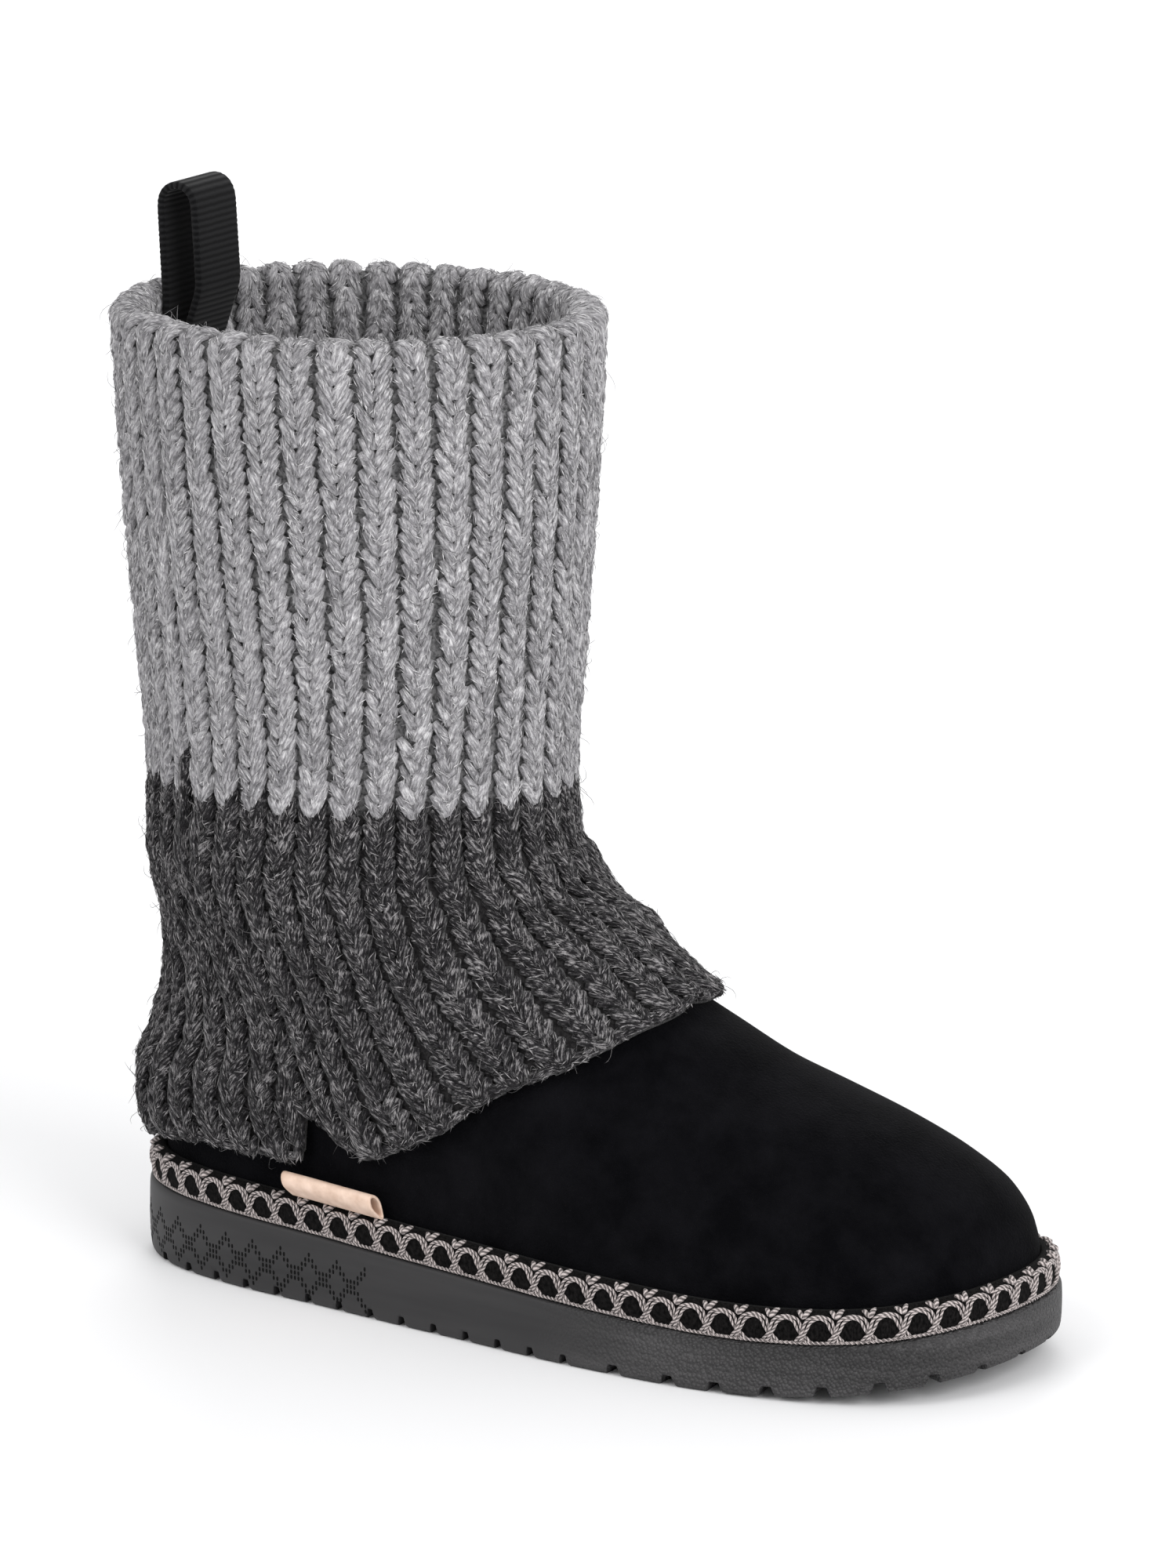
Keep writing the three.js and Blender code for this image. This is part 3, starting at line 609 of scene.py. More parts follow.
def paint_by_shade(tree, shader, low, high):
    """Colours the surface low where the piece's shade is 0 and high where it is 1."""
    shade = add_node(tree, "Attribute", attribute_name="shade")
    mixed = add_node(tree, "Mix", {"Factor": shade.outputs["Fac"], "A": low, "B": high}, data_type="RGBA")
    tree.links.new(mixed.outputs["Result"], shader.inputs["Base Color"])


def suede_material():
    """Black suede: no shine, a soft nap that clouds slightly, and a fine fibrous tooth."""
    material, tree, shader = finish_of("black_suede", (0.004, 0.004, 0.005), 1.0, sheen=0.015,
                                       sheen_roughness=0.35, specular=0.05)
    place = texture_place(tree)
    cloud = noise(tree, place, 60.0, 6.0, Roughness=0.65)
    nap = colour_steps(tree, cloud, [(0.35, (0.0015, 0.0015, 0.0021)), (0.68, (0.0048, 0.0047, 0.0059))])
    lining = (0.02, 0.02, 0.021, 1)
    paint_by_shade(tree, shader, nap, lining)
    emboss(tree, shader, noise(tree, place, 1300.0, 3.0), 0.7, 0.0007)
    return material


upper = make_upper()
upper.data.materials.append(suede_material())
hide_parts("upper")
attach(upper, "root")

# Footbed. A loose insole of dark fleece over foam, laid inside the upper on the sole. It shows only from
# above, down the shaft.
insole_thickness = 4.5


def make_footbed():
    angles = ring_angles(160)
    edge = [(0, 0.09), (0.25, 0), (0.8, 0), (0.95, 0.12), (1, 0.27)]
    rows = []
    for up, inward in edge:
        inside = -upper_wall - clearance - inward * insole_thickness
        rows.append(on_sole(angles, up * insole_thickness, inside))
    under = [toward_middle(rows[0], share) for share in (1, 0.5)]
    over = [toward_middle(rows[-1], share) for share in np.linspace(0.08, 1, 16)]
    return loft("footbed_fleece", np.stack(under + rows + over))


def fleece_material():
    material, tree, shader = finish_of("dark_fleece", (0.02, 0.02, 0.021), 1.0, sheen=0.3, specular=0.1)
    curl = noise(tree, texture_place(tree), 420.0, 4.0, Distortion=1.2)
    paint(tree, shader, curl, [(0.3, (0.012, 0.012, 0.013)), (0.7, (0.036, 0.035, 0.036))])
    emboss(tree, shader, curl, 0.8, 0.0012)
    return material


footbed = make_footbed()
footbed.data.materials.append(fleece_material())
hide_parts("insole")
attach(footbed, "root")

# Braid. A black woven tape sewn round the foot on the sole's ledge, with grey cord couched on it: omega
# loops of two strands whose feet cross, a small forked loop between each two, and two cords twisted round
# each other along the bottom.
trim_height = 9.0
trim_thickness = 5.2
tape_sink = 0.75  # the tape's face lies this far behind the cords' crowns
loop_pitch = 9.3
strand_radius = 0.43
strand_gap = 0.62  # from the middle of a cord to each of its strands, where it opens
foot_cord_radius = 0.32
foot_cord_turns = 230
foot_cord_rise = 0.55
foot_cord_swing = (0.3, 0.25)  # up and out, round each other
trim_section = [(0, 0), (0.94, 0), (1, 0.12), (1, 0.62), (0.82, 0.88), (0.45, 1), (0, 1), (0, 0.5)]


def make_tape():
    angles = ring_angles(288)
    rows = []
    for thick, up in trim_section + trim_section[:1]:
        out = trim_clearance + max(thick * trim_thickness - tape_sink, 0)
        rows.append(on_sole(angles, up * trim_height, out))
    return loft("trim_tape", np.stack(rows))


def trim_face(length, rise, lift=0.0):
    """A point on the trim's outer face, at a length round it in millimetres and a rise up it."""
    angle = np.interp(np.mod(length, trim_route[-1]), trim_route, trim_angles)
    up = rise / trim_height
    thick = np.interp(up, [0, 0.12, 0.62, 0.88, 1.0, 1.06], [0.97, 1, 1, 0.82, 0.45, 0.2])
    out = trim_clearance + thick * trim_thickness - strand_radius + lift
    return on_sole(angle, np.minimum(rise, trim_height + 0.4), out)


trim_angles = ring_angles(720)
trim_route = route_along(on_sole(trim_angles, trim_height / 2, trim_clearance + trim_thickness))
loop_count = round(trim_route[-1] / loop_pitch)
loop_step = trim_route[-1] / loop_count
loop_starts = np.arange(loop_count) * loop_step


def smooth_route(points, steps):
    """A smooth line through a few points, as many steps long as asked."""
    points = np.array(points, float)
    at = np.arange(len(points))
    rows = [(i, *point) for i, point in zip(at, points)]
    fine = np.linspace(0, len(points) - 1, steps)
    return np.stack([curve_of(rows, column)(fine) for column in range(1, points.shape[1] + 1)], axis=-1)


# Along one loop, how far its two strands lie apart: they meet at the crossings and at the top
cord_opening = curve_of([(0, 0.5), (0.08, 0.85), (0.18, 0.55), (0.33, 1.0), (0.5, 0.45), (0.67, 1.0),
                         (0.82, 0.55), (0.92, 0.85), (1.0, 0.5)], 1)


def couched(name, shape, offset, radius, sides=6):
    """Strands laid on the trim's face, one for each loop, from a route of length, rise and lift."""
    run = unit(np.gradient(shape[:, :2], axis=0))
    offset = offset * cord_opening(np.linspace(0, 1, len(shape)))
    length = loop_starts[:, None] + shape[:, 0] - run[:, 1] * offset
    rise = np.broadcast_to(shape[:, 1] + run[:, 0] * offset, length.shape)
    lift = np.broadcast_to(shape[:, 2], length.shape)
    path = trim_face(length, rise, lift)
    out = unit(trim_face(length, rise, lift + 1) - path)
    width = np.broadcast_to(radius, length.shape)
    return strands(name, path, out, width, width, sides)


def join_pieces(name, pieces):
    """Several new pieces made one."""
    with bpy.context.temp_override(active_object=pieces[0], selected_editable_objects=pieces):
        bpy.ops.object.join()
    pieces[0].name = name
    pieces[0].data.name = name
    return pieces[0]


def make_cords():
    half = loop_step / 2
    reach = [1.7, *[half - inward for inward in (1.55, 0.95, 0.35, -0.4, -1.2, -1.9)]]
    rises = [7.3, 6.4, 4.9, 3.5, 2.2, 1.2, 0.6]
    over = [0.0, 0.05, 0.2, 0.4, 0.35, 0.1, -0.2]
    under = [0.0, 0.0, 0.0, -0.1, -0.1, -0.1, -0.2]
    omega = smooth_route([*zip([-far for far in reach[::-1]], rises[::-1], over[::-1]), (0.0, 7.7, 0.0),
                          *zip(reach, rises, under)], 35)

    left_lobe = smooth_route([(half - 1.8, 8.9, 0.0), (half - 1.2, 8.8, 0.35), (half - 0.5, 8.2, 0.4),
                              (half, 7.4, 0.0)], 9)
    right_lobe = smooth_route([(half, 7.4, 0.1), (half + 0.6, 8.1, 0.5), (half + 1.3, 8.9, 0.5),
                               (half + 2.0, 9.2, 0.1)], 9)
    lobe = 0.32 + 0.46 * np.sin(math.pi * np.linspace(0, 1, 9))
    pieces = [couched("omega", omega, side * strand_gap, strand_radius) for side in (-1, 1)]
    pieces += [couched("lobe", left_lobe, 0.0, 0.9 * lobe), couched("lobe", right_lobe, 0.0, lobe)]
    length = np.linspace(0, trim_route[-1], 900)
    radius = np.full((1, len(length)), foot_cord_radius)
    for twist in (0, math.pi):
        turn = length / trim_route[-1] * 2 * math.pi * foot_cord_turns + twist
        rise = foot_cord_rise + foot_cord_swing[0] * np.cos(turn)
        lift = foot_cord_swing[1] * np.sin(turn)
        path = trim_face(length, rise, lift)
        path[-1] = path[0]
        out = unit(trim_face(length, rise, lift + 1) - path)
        pieces.append(strands("foot_cord", path[None], out[None], radius, radius, 5))
    return join_pieces("trim_cords", pieces)


def tape_material():
    """Black woven tape with a fine rib."""
    material, tree, shader = finish_of("black_tape", (0.006, 0.0055, 0.0055), 0.95, sheen=0.02,
                                       specular=0.04)
    thread = noise(tree, stretched(tree, texture_place(tree, "UV"), (900.0, 26.0, 1.0)), 1.0, 2.0)
    paint(tree, shader, thread, [(0.35, (0.002, 0.0019, 0.0019)), (0.7, (0.011, 0.01, 0.01))])
    emboss(tree, shader, thread, 0.6, 0.0004)
    return material


def cord_material():
    """Warm grey polyester cord of two twisted plies, painted dark in the grooves between them as painted
    shade and light on their crowns as painted highlight, with a random unevenness.
    """
    material, tree, shader = finish_of("grey_cord", (0.22, 0.19, 0.18), 0.7, sheen=0.15, specular=0.3)
    twist = stretched(tree, texture_place(tree, "UV"), (0.42, 1.2566, 1.0))
    ply = add_node(tree, "TexWave", {"Vector": twist, "Scale": 1.0}, bands_direction="DIAGONAL")
    ply = ply.outputs["Fac"]
    # The ply bands are painted dark in the grooves as painted shade and light on the crowns as painted
    # highlight.
    ply_shade_and_unevenness = combined(tree, "MULTIPLY", ply, noise(tree, texture_place(tree), 900.0, 2.0))
    paint(tree, shader, ply_shade_and_unevenness, [(0.05, (0.10, 0.086, 0.084)), (0.45, (0.60, 0.53, 0.515))])
    emboss(tree, shader, ply, 0.8, 0.0004)
    return material


tape = make_tape()
tape.data.materials.append(tape_material())
cords = make_cords()
cords.data.materials.append(cord_material())
for piece in (tape, cords):
    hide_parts("braid_trim")
    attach(piece, "root")

# Knit cover. A tube of thick heathered wool in a wide rib, light grey above and charcoal below, drawn over
# the shaft and turned in over the collar, with its hem loose on the foot and a notch at each side seam.
# The ground is the fabric's own wall, with the sunk columns between the ribs; its wool is painted darker
# than the stitches', as painted shade in the valleys.
knit_wall = 4.6
turn_in_wall = 3.6
turn_in_depth = 24.0
rib_count = 38
colour_line = 146.0  # height where the yarn changes
ground_wall = 2.5
light_rows_pitch = 4.4
dark_rows = 27
ground_inside = 0.15  # from the upper to the ground's inner face
table_columns = 720
table_levels = 120

# round from the back (0) to the front (1), and the ring number of the suede that the hem follows
hem_line = [
    (0.0, 1.5), (0.09, 1.45), (0.25, 1.9), (0.336, 2.05), (0.344, 3.75), (0.357, 3.6), (0.375, 3.2),
    (0.396, 2.8), (0.42, 3.15), (0.46, 3.95), (0.55, 5.9), (0.7, 7.6), (0.85, 8.6), (1.0, 9.0),
]

# up from the hem (0) to the collar (1), and how far the knit stands off at the back, sides and front
knit_slack = [
    (0.0, 2.2, 0.6, 0.3), (0.1, 3.2, 1.2, 1.2), (0.22, 1.6, 1.2, 2.6), (0.32, 0.5, 0.9, 1.0),
    (0.4, 0.2, 0.6, 3.4), (0.5, 0.1, 0.3, 1.0), (0.75, 0.0, 0.2, 0.2), (1.0, 0.0, 0.0, 0.0),
]

# Soft folds: round in degrees from the back, up, half-lengths round and up, height in millimetres and slant
knit_folds = [
    (95, 0.20, 26, 0.030, 1.0, 0.0010),
    (78, 0.33, 22, 0.030, -0.9, -0.0008),
    (118, 0.29, 24, 0.028, 1.1, 0.0012),
    (150, 0.15, 22, 0.035, 1.3, 0.0006),
    (148, 0.31, 26, 0.030, -1.0, 0.0008),
    (60, 0.14, 20, 0.045, 1.2, -0.0012),
    (30, 0.22, 22, 0.030, -0.9, 0.0010),
    (212, 0.20, 26, 0.032, 1.2, -0.0010),
    (245, 0.31, 26, 0.030, 1.0, -0.0008),
    (300, 0.18, 24, 0.040, 1.1, 0.0010),
    (330, 0.30, 20, 0.030, -0.8, 0.0),
]

hem_ring = curve_of(hem_line, 1)
slack_back, slack_side, slack_front = [curve_of(knit_slack, column) for column in (1, 2, 3)]
turn_in_ring = ring_at_height(collar_height - turn_in_depth)


def slack_at(angle, up):
    toward = -np.cos(angle)
    end = np.where(toward > 0, slack_front(up), slack_back(up))
    slack = lerp(slack_side(up), end, np.abs(toward) ** 1.5)
    degrees = np.mod(np.degrees(angle), 360)
    for middle, height_at, half_round, half_up, rise, slant in knit_folds:
        turn = np.mod(degrees - middle + 180, 360) - 180
        above = up - height_at - slant * turn
        slack = slack + rise * np.exp(-(turn / half_round) ** 2 - (above / half_up) ** 2)
    return slack * smooth_step(up, -0.02, 0.03)


def knit_point(angle, t, through):
    """A point of the knit. t runs from the hem (0) to the collar (1), over it (2), down inside it (3)."""
    angle, t, through = np.broadcast_arrays(angle, t, through)
    up = np.clip(t, 0, 1)
    around = np.mod(angle, 2 * math.pi)
    around = np.where(around <= math.pi, around, 2 * math.pi - around) / math.pi
    ring = lerp(hem_ring(around), collar_ring, up)
    outer = suede_offset(angle, ring, clearance + slack_at(angle, up) + through)
    turn = np.clip(t - 1, 0, 1) * math.pi
    inner_through = through * turn_in_wall / knit_wall
    distance = lerp(clearance + through, -upper_wall - clearance - inner_through, (1 - np.cos(turn)) / 2)
    over = suede_offset(angle, collar_ring, distance, flat=True)
    over[..., 2] += (clearance + lerp(through, inner_through, turn / math.pi)) * np.sin(turn)
    ring = lerp(collar_ring, turn_in_ring, np.clip(t - 2, 0, 1))
    inner = suede_offset(angle, ring, -upper_wall - clearance - inner_through, flat=True)
    return np.where((t <= 1)[..., None], outer, np.where((t <= 2)[..., None], over, inner))


def even_ribs():
    """For each height of the knit, which angle each share of the way round has, so that ribs are
    evenly spaced as seen from above."""
    levels = np.linspace(0, 3, table_levels + 1)
    angles = ring_angles(table_columns)
    shares = np.linspace(0, 1, table_columns + 1)
    table = []
    for t in levels:
        loop = knit_point(angles, t, knit_wall / 2)
        route = route_along(loop[:, :2])
        front = route[table_columns // 2]
        half_share = np.where(shares <= 0.5, shares * 2 * front,
                              front + (2 * shares - 1) * (route[-1] - front))
        table.append(np.interp(half_share, route, angles))
    table = np.array(table)
    for _ in range(6):
        table[1:-1] = (table[:-2] + 2 * table[1:-1] + table[2:]) / 4
    return table


def rib_angle(turn, t):
    """The angle of a point at a share of the way round, in whole turns, and at a height of the knit."""
    turn, t = np.broadcast_arrays(np.mod(turn, 1.0), t)
    column = turn * table_columns
    row = np.clip(t / 3, 0, 1) * table_levels
    left = np.minimum(column.astype(int), table_columns - 1)
    low = np.minimum(row.astype(int), table_levels - 1)
    across, up = column - left, row - low
    below = lerp(rib_table[low, left], rib_table[low, left + 1], across)
    above = lerp(rib_table[low + 1, left], rib_table[low + 1, left + 1], across)
    return lerp(below, above, up)


rib_table = even_ribs()


def rib_point(turn, t, through):
    return knit_point(rib_angle(turn, t), t, through)


def make_ground():
    turns = np.linspace(0, 1, rib_count * 6 + 1)
    outer = np.concatenate([np.linspace(0, 1, 100), np.linspace(1.07, 1.93, 12), np.linspace(2, 3, 14)])
    valley = (0.5 - 0.5 * np.cos(2 * math.pi * turns * rib_count)) ** 2
    rows = [rib_point(turns, t, ground_wall * (1 - 0.35 * valley)) for t in outer]
    for t in (3.0, 2.5, 2.0, 1.75, 1.5, 1.25, *np.linspace(1, 0, 30)):
        rows.append(rib_point(turns, t, ground_inside))
    rows.append(rows[0])
    rows = np.stack(rows)
    rows[:, -1] = rows[:, 0]
    return loft("knit_ground_painted_shade", rows, smooth_step(rows[..., 2], colour_line - 1.0, colour_line + 1.0))


def heather_material(name, sheen, dark, middle, light):
    """Wool spun from fibres of several greys: soft streaks along the yarn, and a furry edge."""
    material, tree, shader = finish_of(name, middle, 1.0, sheen=sheen, sheen_roughness=0.4, specular=0.1)
    along = stretched(tree, texture_place(tree, "UV"), (0.42, 13.0, 1.0))
    streak = noise(tree, along, 1.0, 3.0, Roughness=0.7)
    tone = add_node(tree, "Attribute", attribute_name="shade")
    total = combined(tree, "ADD", streak, tone.outputs["Fac"])
    paint(tree, shader, total, [(0.34, dark), (0.52, middle), (0.72, light)])
    emboss(tree, shader, streak, 0.9, 0.0007)
    return material


def ground_painted_shade_material():
    # Both yarns are painted darker here than on the stitches, as painted shade in the valleys between the
    # ribs.
    material, tree, shader = finish_of("knit_ground_painted_shade", (0.1, 0.1, 0.1), 1.0, sheen=0.15, specular=0.1)
    fuzz = noise(tree, texture_place(tree), 900.0, 4.0)
    light = colour_steps(tree, fuzz, [(0.35, (0.045, 0.045, 0.046)), (0.65, (0.21, 0.207, 0.21))])
    dark = colour_steps(tree, fuzz, [(0.3, (0.006, 0.0055, 0.006)), (0.7, (0.035, 0.033, 0.034))])
    paint_by_shade(tree, shader, dark, light)
    emboss(tree, shader, fuzz, 0.9, 0.001)
    return material


ground = make_ground()
ground.data.materials.append(ground_painted_shade_material())
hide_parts("knit_cover")
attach(ground, "root")

# Stitches. Every rib is a column of knit stitches, each a V of two plump legs whose foot is tucked into the
# stitch below. The yarn changes from charcoal to light grey at one height all round.
leg_radius = (1.8, 1.25)
leg_steps = 6
leg_reach = (-0.75, 1.75)  # where a leg starts, and how far it goes on from there, in rows
shortest_leg = 3.7  # the least pitch that a leg is made for
spine_gap = 0.2  # from a leg's foot to the middle of its rib
valley_gap = 1.3  # from a leg's outer end to the middle of the valley
rows_inside = 3.0  # where in the knit's thickness the places of legs are measured
leg_bulge = 0.4
foot_sink = 0.3
tip_sink = 1.5
rib_probe = 0.002

# how far the legs stray: along the rib, across it, at their outer ends and into the knit
stray_along = 0.36
stray_across = 0.12
stray_end = 0.45
stray_sink = 0.22

wool_seed = np.random.default_rng(11)


def rib_rows(turn):
    """The rows of one rib, dark and light: where each lies along it, from its hem to its turned-in edge."""
    t = np.linspace(0, 3, 901)
    line = rib_point(turn, t, knit_wall * 0.75)
    route = route_along(line)
    change = np.interp(colour_line, line[t <= 1, 2], route[t <= 1])
    dark_pitch = change / dark_rows
    dark = (np.arange(dark_rows) + 0.45) * dark_pitch
    light = np.arange(change + 0.5 * light_rows_pitch, route[-1] - 1.5, light_rows_pitch)
    return t, route, dark, dark_pitch, light


def yarn_path(turn, t, through):
    """Lines in the knit, with the way out of it at each of their points."""
    path = rib_point(turn, t, through)
    return path, unit(rib_point(turn, t, through + 1) - path)


def leg_places():
    """Every leg of every stitch, dark and light, as middle lines and outward directions."""
    share = np.linspace(0, 1, leg_steps)
    found = {"dark": [], "light": []}
    for rib in range(rib_count):
        turn = rib / rib_count
        t, route, dark, dark_pitch, light = rib_rows(turn)
        for yarn, rows, pitch in (("dark", dark, dark_pitch), ("light", light, light_rows_pitch)):
            jitter = wool_seed.normal(0, 1, (len(rows), 2, 3))
            for side in (-1, 1):
                pick = (side + 1) // 2
                length = max(pitch, shortest_leg)
                along = rows[:, None] + (leg_reach[0] + leg_reach[1] * share) * length
                at = np.interp(along + stray_along * jitter[:, pick, :1], route, t)
                aside = rib_point(turn + rib_probe, at, rows_inside) - rib_point(turn, at, rows_inside)
                metric = np.linalg.norm(aside, axis=-1) / rib_probe
                half = metric / rib_count / 2 - valley_gap + stray_end * jitter[:, pick, 1:2]
                across = side * (spine_gap + (half - spine_gap) * share**1.15)
                across = across + stray_across * jitter[:, pick, :1]
                sink = foot_sink * (1 - share) ** 2 + tip_sink * share**2.5
                sink = sink + stray_sink * jitter[:, pick, 2:]
                through = knit_wall - leg_radius[1] + leg_bulge - sink
                found[yarn].append(yarn_path(turn + across / metric, at, through))
    found["dark"].append(hem_edge(share))
    return {yarn: [np.concatenate(part) for part in zip(*legs)] for yarn, legs in found.items()}


def hem_edge(share):
    """The cast-on edge: legs laid end to end along the hem."""
    count = 3 * rib_count
    jitter = wool_seed.normal(0, 1, (count, 3))
    turn = (np.arange(count)[:, None] + 1.5 * (share - 0.5)) / count
    at = 0.003 + 0.003 * np.sin(math.pi * share) + 0.002 * jitter[:, :1]
    through = 2.2 + 0.9 * np.sin(math.pi * share) + 0.3 * jitter[:, 1:2]
    return yarn_path(turn, at, through)


def make_legs(name, path, out):
    count = len(path)
    share = np.linspace(0, 1, leg_steps)
    plump = 0.6 + 0.4 * np.sin(math.pi * (0.1 + 0.8 * share)) ** 0.8
    size = 1 + 0.09 * wool_seed.normal(0, 1, (count, 1))
    tone = wool_seed.normal(0, 0.025, count)
    return strands(name, path, out, leg_radius[0] * plump * size, leg_radius[1] * plump * size, 5, tone)


legs = leg_places()
light_wool = heather_material("light_wool", 0.25, (0.13, 0.127, 0.134), (0.33, 0.322, 0.335),
                              (0.70, 0.69, 0.70))
dark_wool = heather_material("dark_wool", 0.14, (0.004, 0.0038, 0.0042), (0.025, 0.0235, 0.0258),
                             (0.38, 0.365, 0.37))
stitch_pieces = [make_legs("stitches_dark", *legs["dark"]), make_legs("stitches_light", *legs["light"])]
for piece, wool in zip(stitch_pieces, (dark_wool, light_wool)):
    piece.data.materials.append(wool)
    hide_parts("knit_cover")
    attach(piece, "root")

# Loose fibres. Brushed wool is covered in short fibres that lie along the yarn, lighter and darker than it,
# and a few longer ones stand out from it in curls.
fibre_radius = 0.17
fibre_half = (0.8, 2.1)  # from a fibre's middle to its ends
curl_radius = 0.075
curl_length = (2.0, 5.5)
fibre_counts = {"dark": 22000, "light": 32500}
curl_counts = {"dark": 1500, "light": 2000}


def needles(name, middle, half, away, radius, tone):
    """Fibres drawn out to a point at both ends, all in one mesh. half runs from the middle to an end."""
    run = unit(half)
    side = unit(np.cross(run, away))
    lift = np.cross(side, run)
    turn = (math.pi / 2 + 2 * math.pi * np.arange(3) / 3)[:, None]
    ring = np.cos(turn) * side[:, None] + np.sin(turn) * lift[:, None]
    belt = middle[:, None] + radius[:, None, None] * ring
    vertices = np.concatenate([(middle - half)[:, None], belt, (middle + half)[:, None]], axis=1)
    one = np.array([1, 2, 0, 2, 3, 0, 3, 1, 0, 2, 1, 4, 3, 2, 4, 1, 3, 4])
    number = np.arange(len(middle))
    corners = (one[None] + 5 * number[:, None]).ravel()
    spot = np.column_stack([number * 1.7 % 90, number * 0.37 % 1])
    return joined_mesh(name, vertices.reshape(-1, 3), corners, np.full(6 * len(middle), 3),
                       np.repeat(spot, 18, axis=0), np.repeat(tone, 5))


def fibre_roots(path, out, count):
    """Places on the face of the yarn, with the way out and the way along it."""
    chosen = wool_seed.integers(0, len(path), count)
    step = wool_seed.integers(1, leg_steps - 1, count)
    up = out[chosen, step]
    run = unit(path[chosen, step + 1] - path[chosen, step - 1])
    side = np.cross(up, run)
    turn = wool_seed.uniform(-0.5 * math.pi, 0.5 * math.pi, (count, 1))
    root = path[chosen, step] + leg_radius[0] * np.sin(turn) * side + leg_radius[1] * np.cos(turn) * up
    away = unit(np.sin(turn) * side + np.cos(turn) * up)
    return root, away, run, side


def make_fibres(name, path, out, count):
    root, away, run, side = fibre_roots(path, out, count)
    slant = wool_seed.normal(0, 0.55, (count, 1))
    stand = wool_seed.normal(0, 0.08, (count, 1))
    heading = unit(run + slant * side + stand * away)
    half = wool_seed.uniform(*fibre_half, (count, 1)) * heading
    radius = wool_seed.uniform(0.7, 1.2, count) * fibre_radius
    return needles(name, root, half, away, radius, wool_seed.normal(0.03, 0.19, count))


def make_curls(name, path, out, count):
    root, away, run, side = fibre_roots(path, out, count)
    way = wool_seed.choice((-1, 1), (count, 1))
    heading = unit(run * way + wool_seed.normal(0, 0.6, (count, 1)) * side)
    length = wool_seed.uniform(*curl_length, (count, 1))
    lift = np.abs(wool_seed.normal(0.25, 0.2, (count, 1)))
    share = np.linspace(0, 1, 5)[:, None]
    arc = np.sin(math.pi * share * 0.8) * lift[:, None]
    drift = wool_seed.normal(0, 0.25, (count, 3))[:, None] * share**2
    line = root[:, None] + length[:, None] * (heading[:, None] * share + away[:, None] * arc + drift)
    width = np.full((count, 5), curl_radius) * np.array([0.8, 1, 1, 0.8, 0.3])
    tone = wool_seed.normal(0.1, 0.1, count)
    return strands(name, line, np.repeat(away[:, None], 5, axis=1), width, width, 3, tone)


fibre_pieces = [
    (make_fibres("fibres_dark", *legs["dark"], fibre_counts["dark"]), dark_wool),
    (make_fibres("fibres_light", *legs["light"], fibre_counts["light"]), light_wool),
    (make_curls("curls_dark", *legs["dark"], curl_counts["dark"]), dark_wool),
    (make_curls("curls_light", *legs["light"], curl_counts["light"]), light_wool),
]
for piece, wool in fibre_pieces:
    piece.data.materials.append(wool)
    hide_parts("knit_cover")
    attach(piece, "root")

# Pull loop. One strap of black ribbed webbing, folded over and sewn by both ends inside the back of the
# collar, so that it stands up behind the heel.
loop_width = 22.0
loop_height = 30.0
loop_depth = 13.0
strap_thickness = 2.0
sewn_length = 6.0
strap_teeth = 0.35  # how far the woven edge swells in and out
tooth_pitch = 1.6


def loop_route():
    half = strap_thickness / 2
    lining = upper_wall + clearance + turn_in_wall
    chord = math.sqrt(1 - (loop_width / 2 / (collar_size[1] / 2 - lining)) ** 2)
    bow = (collar_size[0] / 2 - lining) * (1 - chord)

    def seat(height):
        return float(ring_back(ring_at_height(height))) + lining + bow + clearance + half

    rim = collar_height + clearance + knit_wall
    foot = collar_height - turn_in_depth
    lean = (seat(foot) - seat(collar_height)) / turn_in_depth
    bend = (loop_depth - strap_thickness) / 2
    top = rim + loop_height - half - bend
    outer_top = seat(collar_height) - lean * (top - collar_height)
    arc = [(outer_top + bend - bend * math.cos(turn), top + bend * math.sin(turn))
           for turn in np.linspace(0, math.pi, 17)]
    ends = strap_thickness + clearance
    corners = [(seat(foot), foot), *arc, (seat(collar_height) + 2 * bend, rim),
               (seat(foot) - lean * sewn_length + ends, foot + sewn_length), (seat(foot) + ends, foot)]
    corners = np.array(corners)
    route = route_along(corners)
    fine = np.linspace(0, route[-1], 181)
    line = np.column_stack([np.interp(fine, route, corners[:, k]) for k in (0, 1)])
    for _ in range(12):
        line[1:-1] = (line[:-2] + 2 * line[1:-1] + line[2:]) / 4
    return line, fine


def make_pull_loop():
    line, length = loop_route()
    run = unit(np.gradient(line, axis=0))
    out = np.column_stack([-run[:, 1], run[:, 0]])
    tooth = strap_teeth * (0.5 + 0.5 * np.cos(2 * math.pi * length / tooth_pitch)) ** 0.7
    half_width = loop_width / 2 - strap_teeth + tooth
    face = [(-1, 0.55), (-0.955, 0.95), (-0.9, 1), (-0.45, 1), (0, 1), (0.45, 1), (0.9, 1), (0.955, 0.95),
            (1, 0.55)]
    section = [(-1, -0.55), *face, *[(-across, -thick) for across, thick in face]]
    rows = []
    for place, side, half in zip(line, out, half_width):
        rows.append([(place[0] + side[0] * thick * strap_thickness / 2, across * half,
                      place[1] + side[1] * thick * strap_thickness / 2) for across, thick in section])
    rows = np.array(rows)
    first = np.repeat(rows[:1].mean(axis=1, keepdims=True), rows.shape[1], axis=1)
    last = np.repeat(rows[-1:].mean(axis=1, keepdims=True), rows.shape[1], axis=1)
    return loft("pull_loop_webbing", np.concatenate([first, rows, last]))


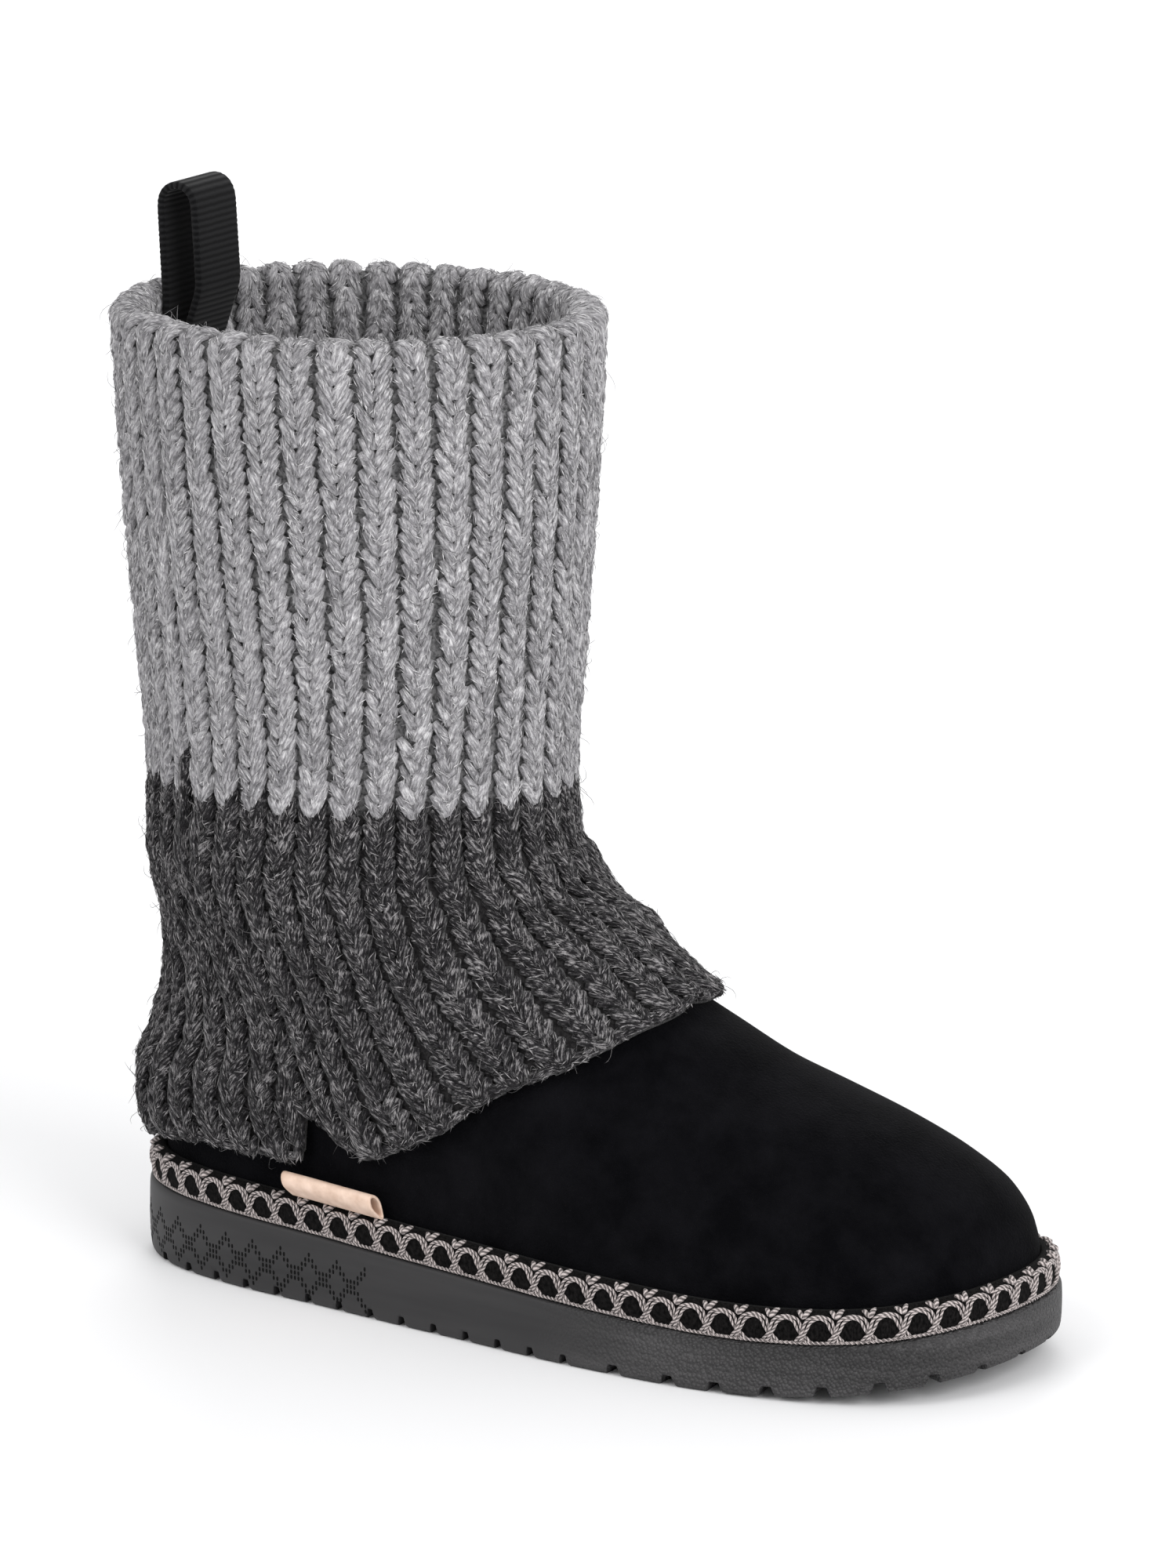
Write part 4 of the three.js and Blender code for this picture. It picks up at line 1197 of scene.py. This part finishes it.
def webbing_material():
    """Black cotton webbing with a close cross rib."""
    material, tree, shader = finish_of("black_webbing", (0.008, 0.008, 0.009), 0.95, sheen=0.08,
                                       specular=0.1)
    rib = add_node(tree, "TexWave", {"Vector": texture_place(tree, "UV"), "Scale": 22.0,
                                     "Distortion": 0.6, "Detail": 2.0}, bands_direction="Y")
    rib = rib.outputs["Fac"]
    paint(tree, shader, rib, [(0.2, (0.003, 0.003, 0.0035)), (0.9, (0.013, 0.013, 0.014))])
    emboss(tree, shader, rib, 0.7, 0.0004)
    return material


pull_loop = make_pull_loop()
pull_loop.data.materials.append(webbing_material())
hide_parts("pull_loop")
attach(pull_loop, "root")

# Side tab. A strip of natural leather folded lengthwise, its two raw edges caught under the braid and its
# ends left open. It is bare.
tab_middle = 85.0
tab_length = 30.0
tab_height = 8.2
tab_depth = 5.0
tab_thickness = 0.9
tab_out = 4.6
tab_lean = 0.4
tab_edge = 0.2  # how far the raw ends are rounded
tab_end = 0.006  # and how far they go past the last section, as a share of the length


def make_side_tab():
    turn = np.linspace(0, 2 * math.pi, 49)
    middle = math.acos(1 - 2 * (tab_middle - foot_start) / foot_length)
    sweep = tab_length / ((foot_length / 2) * math.sin(middle))
    shares = np.linspace(-0.5, 0.5, 33)

    def section(share, thin):
        pinch = 0.55 + 0.45 * smooth_step(np.sin(turn), -0.9, 0.5)
        across = (tab_depth / 2 - thin) * np.cos(turn) * pinch
        up = (tab_height / 2 - thin) * np.sin(turn)
        out = across * math.cos(tab_lean) + up * math.sin(tab_lean)
        rise = -across * math.sin(tab_lean) + up * math.cos(tab_lean)
        angle = np.full_like(turn, middle + share * sweep)
        return on_sole(angle, trim_height + tab_height / 2 + rise, tab_out + out)

    rows = [section(share, 0.0) for share in shares]
    rows.append(section(0.5 + tab_end, tab_edge))
    rows.append(section(0.5 + tab_end, tab_thickness - tab_edge))
    rows += [section(share, tab_thickness) for share in shares[::-1]]
    rows.append(section(-0.5 - tab_end, tab_thickness - tab_edge))
    rows.append(section(-0.5 - tab_end, tab_edge))
    rows.append(rows[0])
    return loft("side_tab_leather", np.stack(rows))


def leather_material():
    """Natural tan leather: smooth, a little mottled, with fine pores."""
    material, tree, shader = finish_of("tan_leather", (0.78, 0.58, 0.46), 0.5, specular=0.4)
    place = texture_place(tree)
    mottle = noise(tree, place, 260.0, 5.0)
    paint(tree, shader, mottle, [(0.3, (0.66, 0.47, 0.36)), (0.7, (0.86, 0.66, 0.54))])
    pores = add_node(tree, "TexVoronoi", {"Vector": place, "Scale": 1500.0})
    emboss(tree, shader, pores.outputs["Distance"], 0.25, 0.0002)
    return material


side_tab = make_side_tab()
side_tab.data.materials.append(leather_material())
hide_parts("side_tab")
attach(side_tab, "root")

# Studio. A plain white floor and surroundings, with three broad soft lights: from the left and above, a
# stronger one from the right, and one from behind that keeps the floor white.
floor_half = 6.0
surroundings = 0.75
floor_shape = bmesh.new()
bmesh.ops.create_grid(floor_shape, x_segments=1, y_segments=1, size=floor_half)
floor = mesh_object("floor", floor_shape)
floor.data.materials.append(finish_of("floor_white", (0.93, 0.93, 0.94), 0.8, specular=0.2)[0])

world = bpy.data.worlds.new("studio")
world.use_nodes = True
background = world.node_tree.nodes["Background"]
background.inputs["Color"].default_value = (1.0, 1.0, 1.0, 1)
background.inputs["Strength"].default_value = surroundings
bpy.context.scene.world = world
bpy.context.scene.view_settings.view_transform = "Standard"

# name, place and power of each soft light
light_size = 1.6
studio_lights = [
    ("key", (-0.8, -2.1, 2.2), 24.0),
    ("fill", (2.2, -0.9, 1.4), 41.0),
    ("back", (-1.2, 2.6, 1.8), 28.0),
]
for name, place, power in studio_lights:
    light = bpy.data.lights.new(name, "AREA")
    light.size = light_size
    light.energy = power
    look_from(add_object(name, light), place)
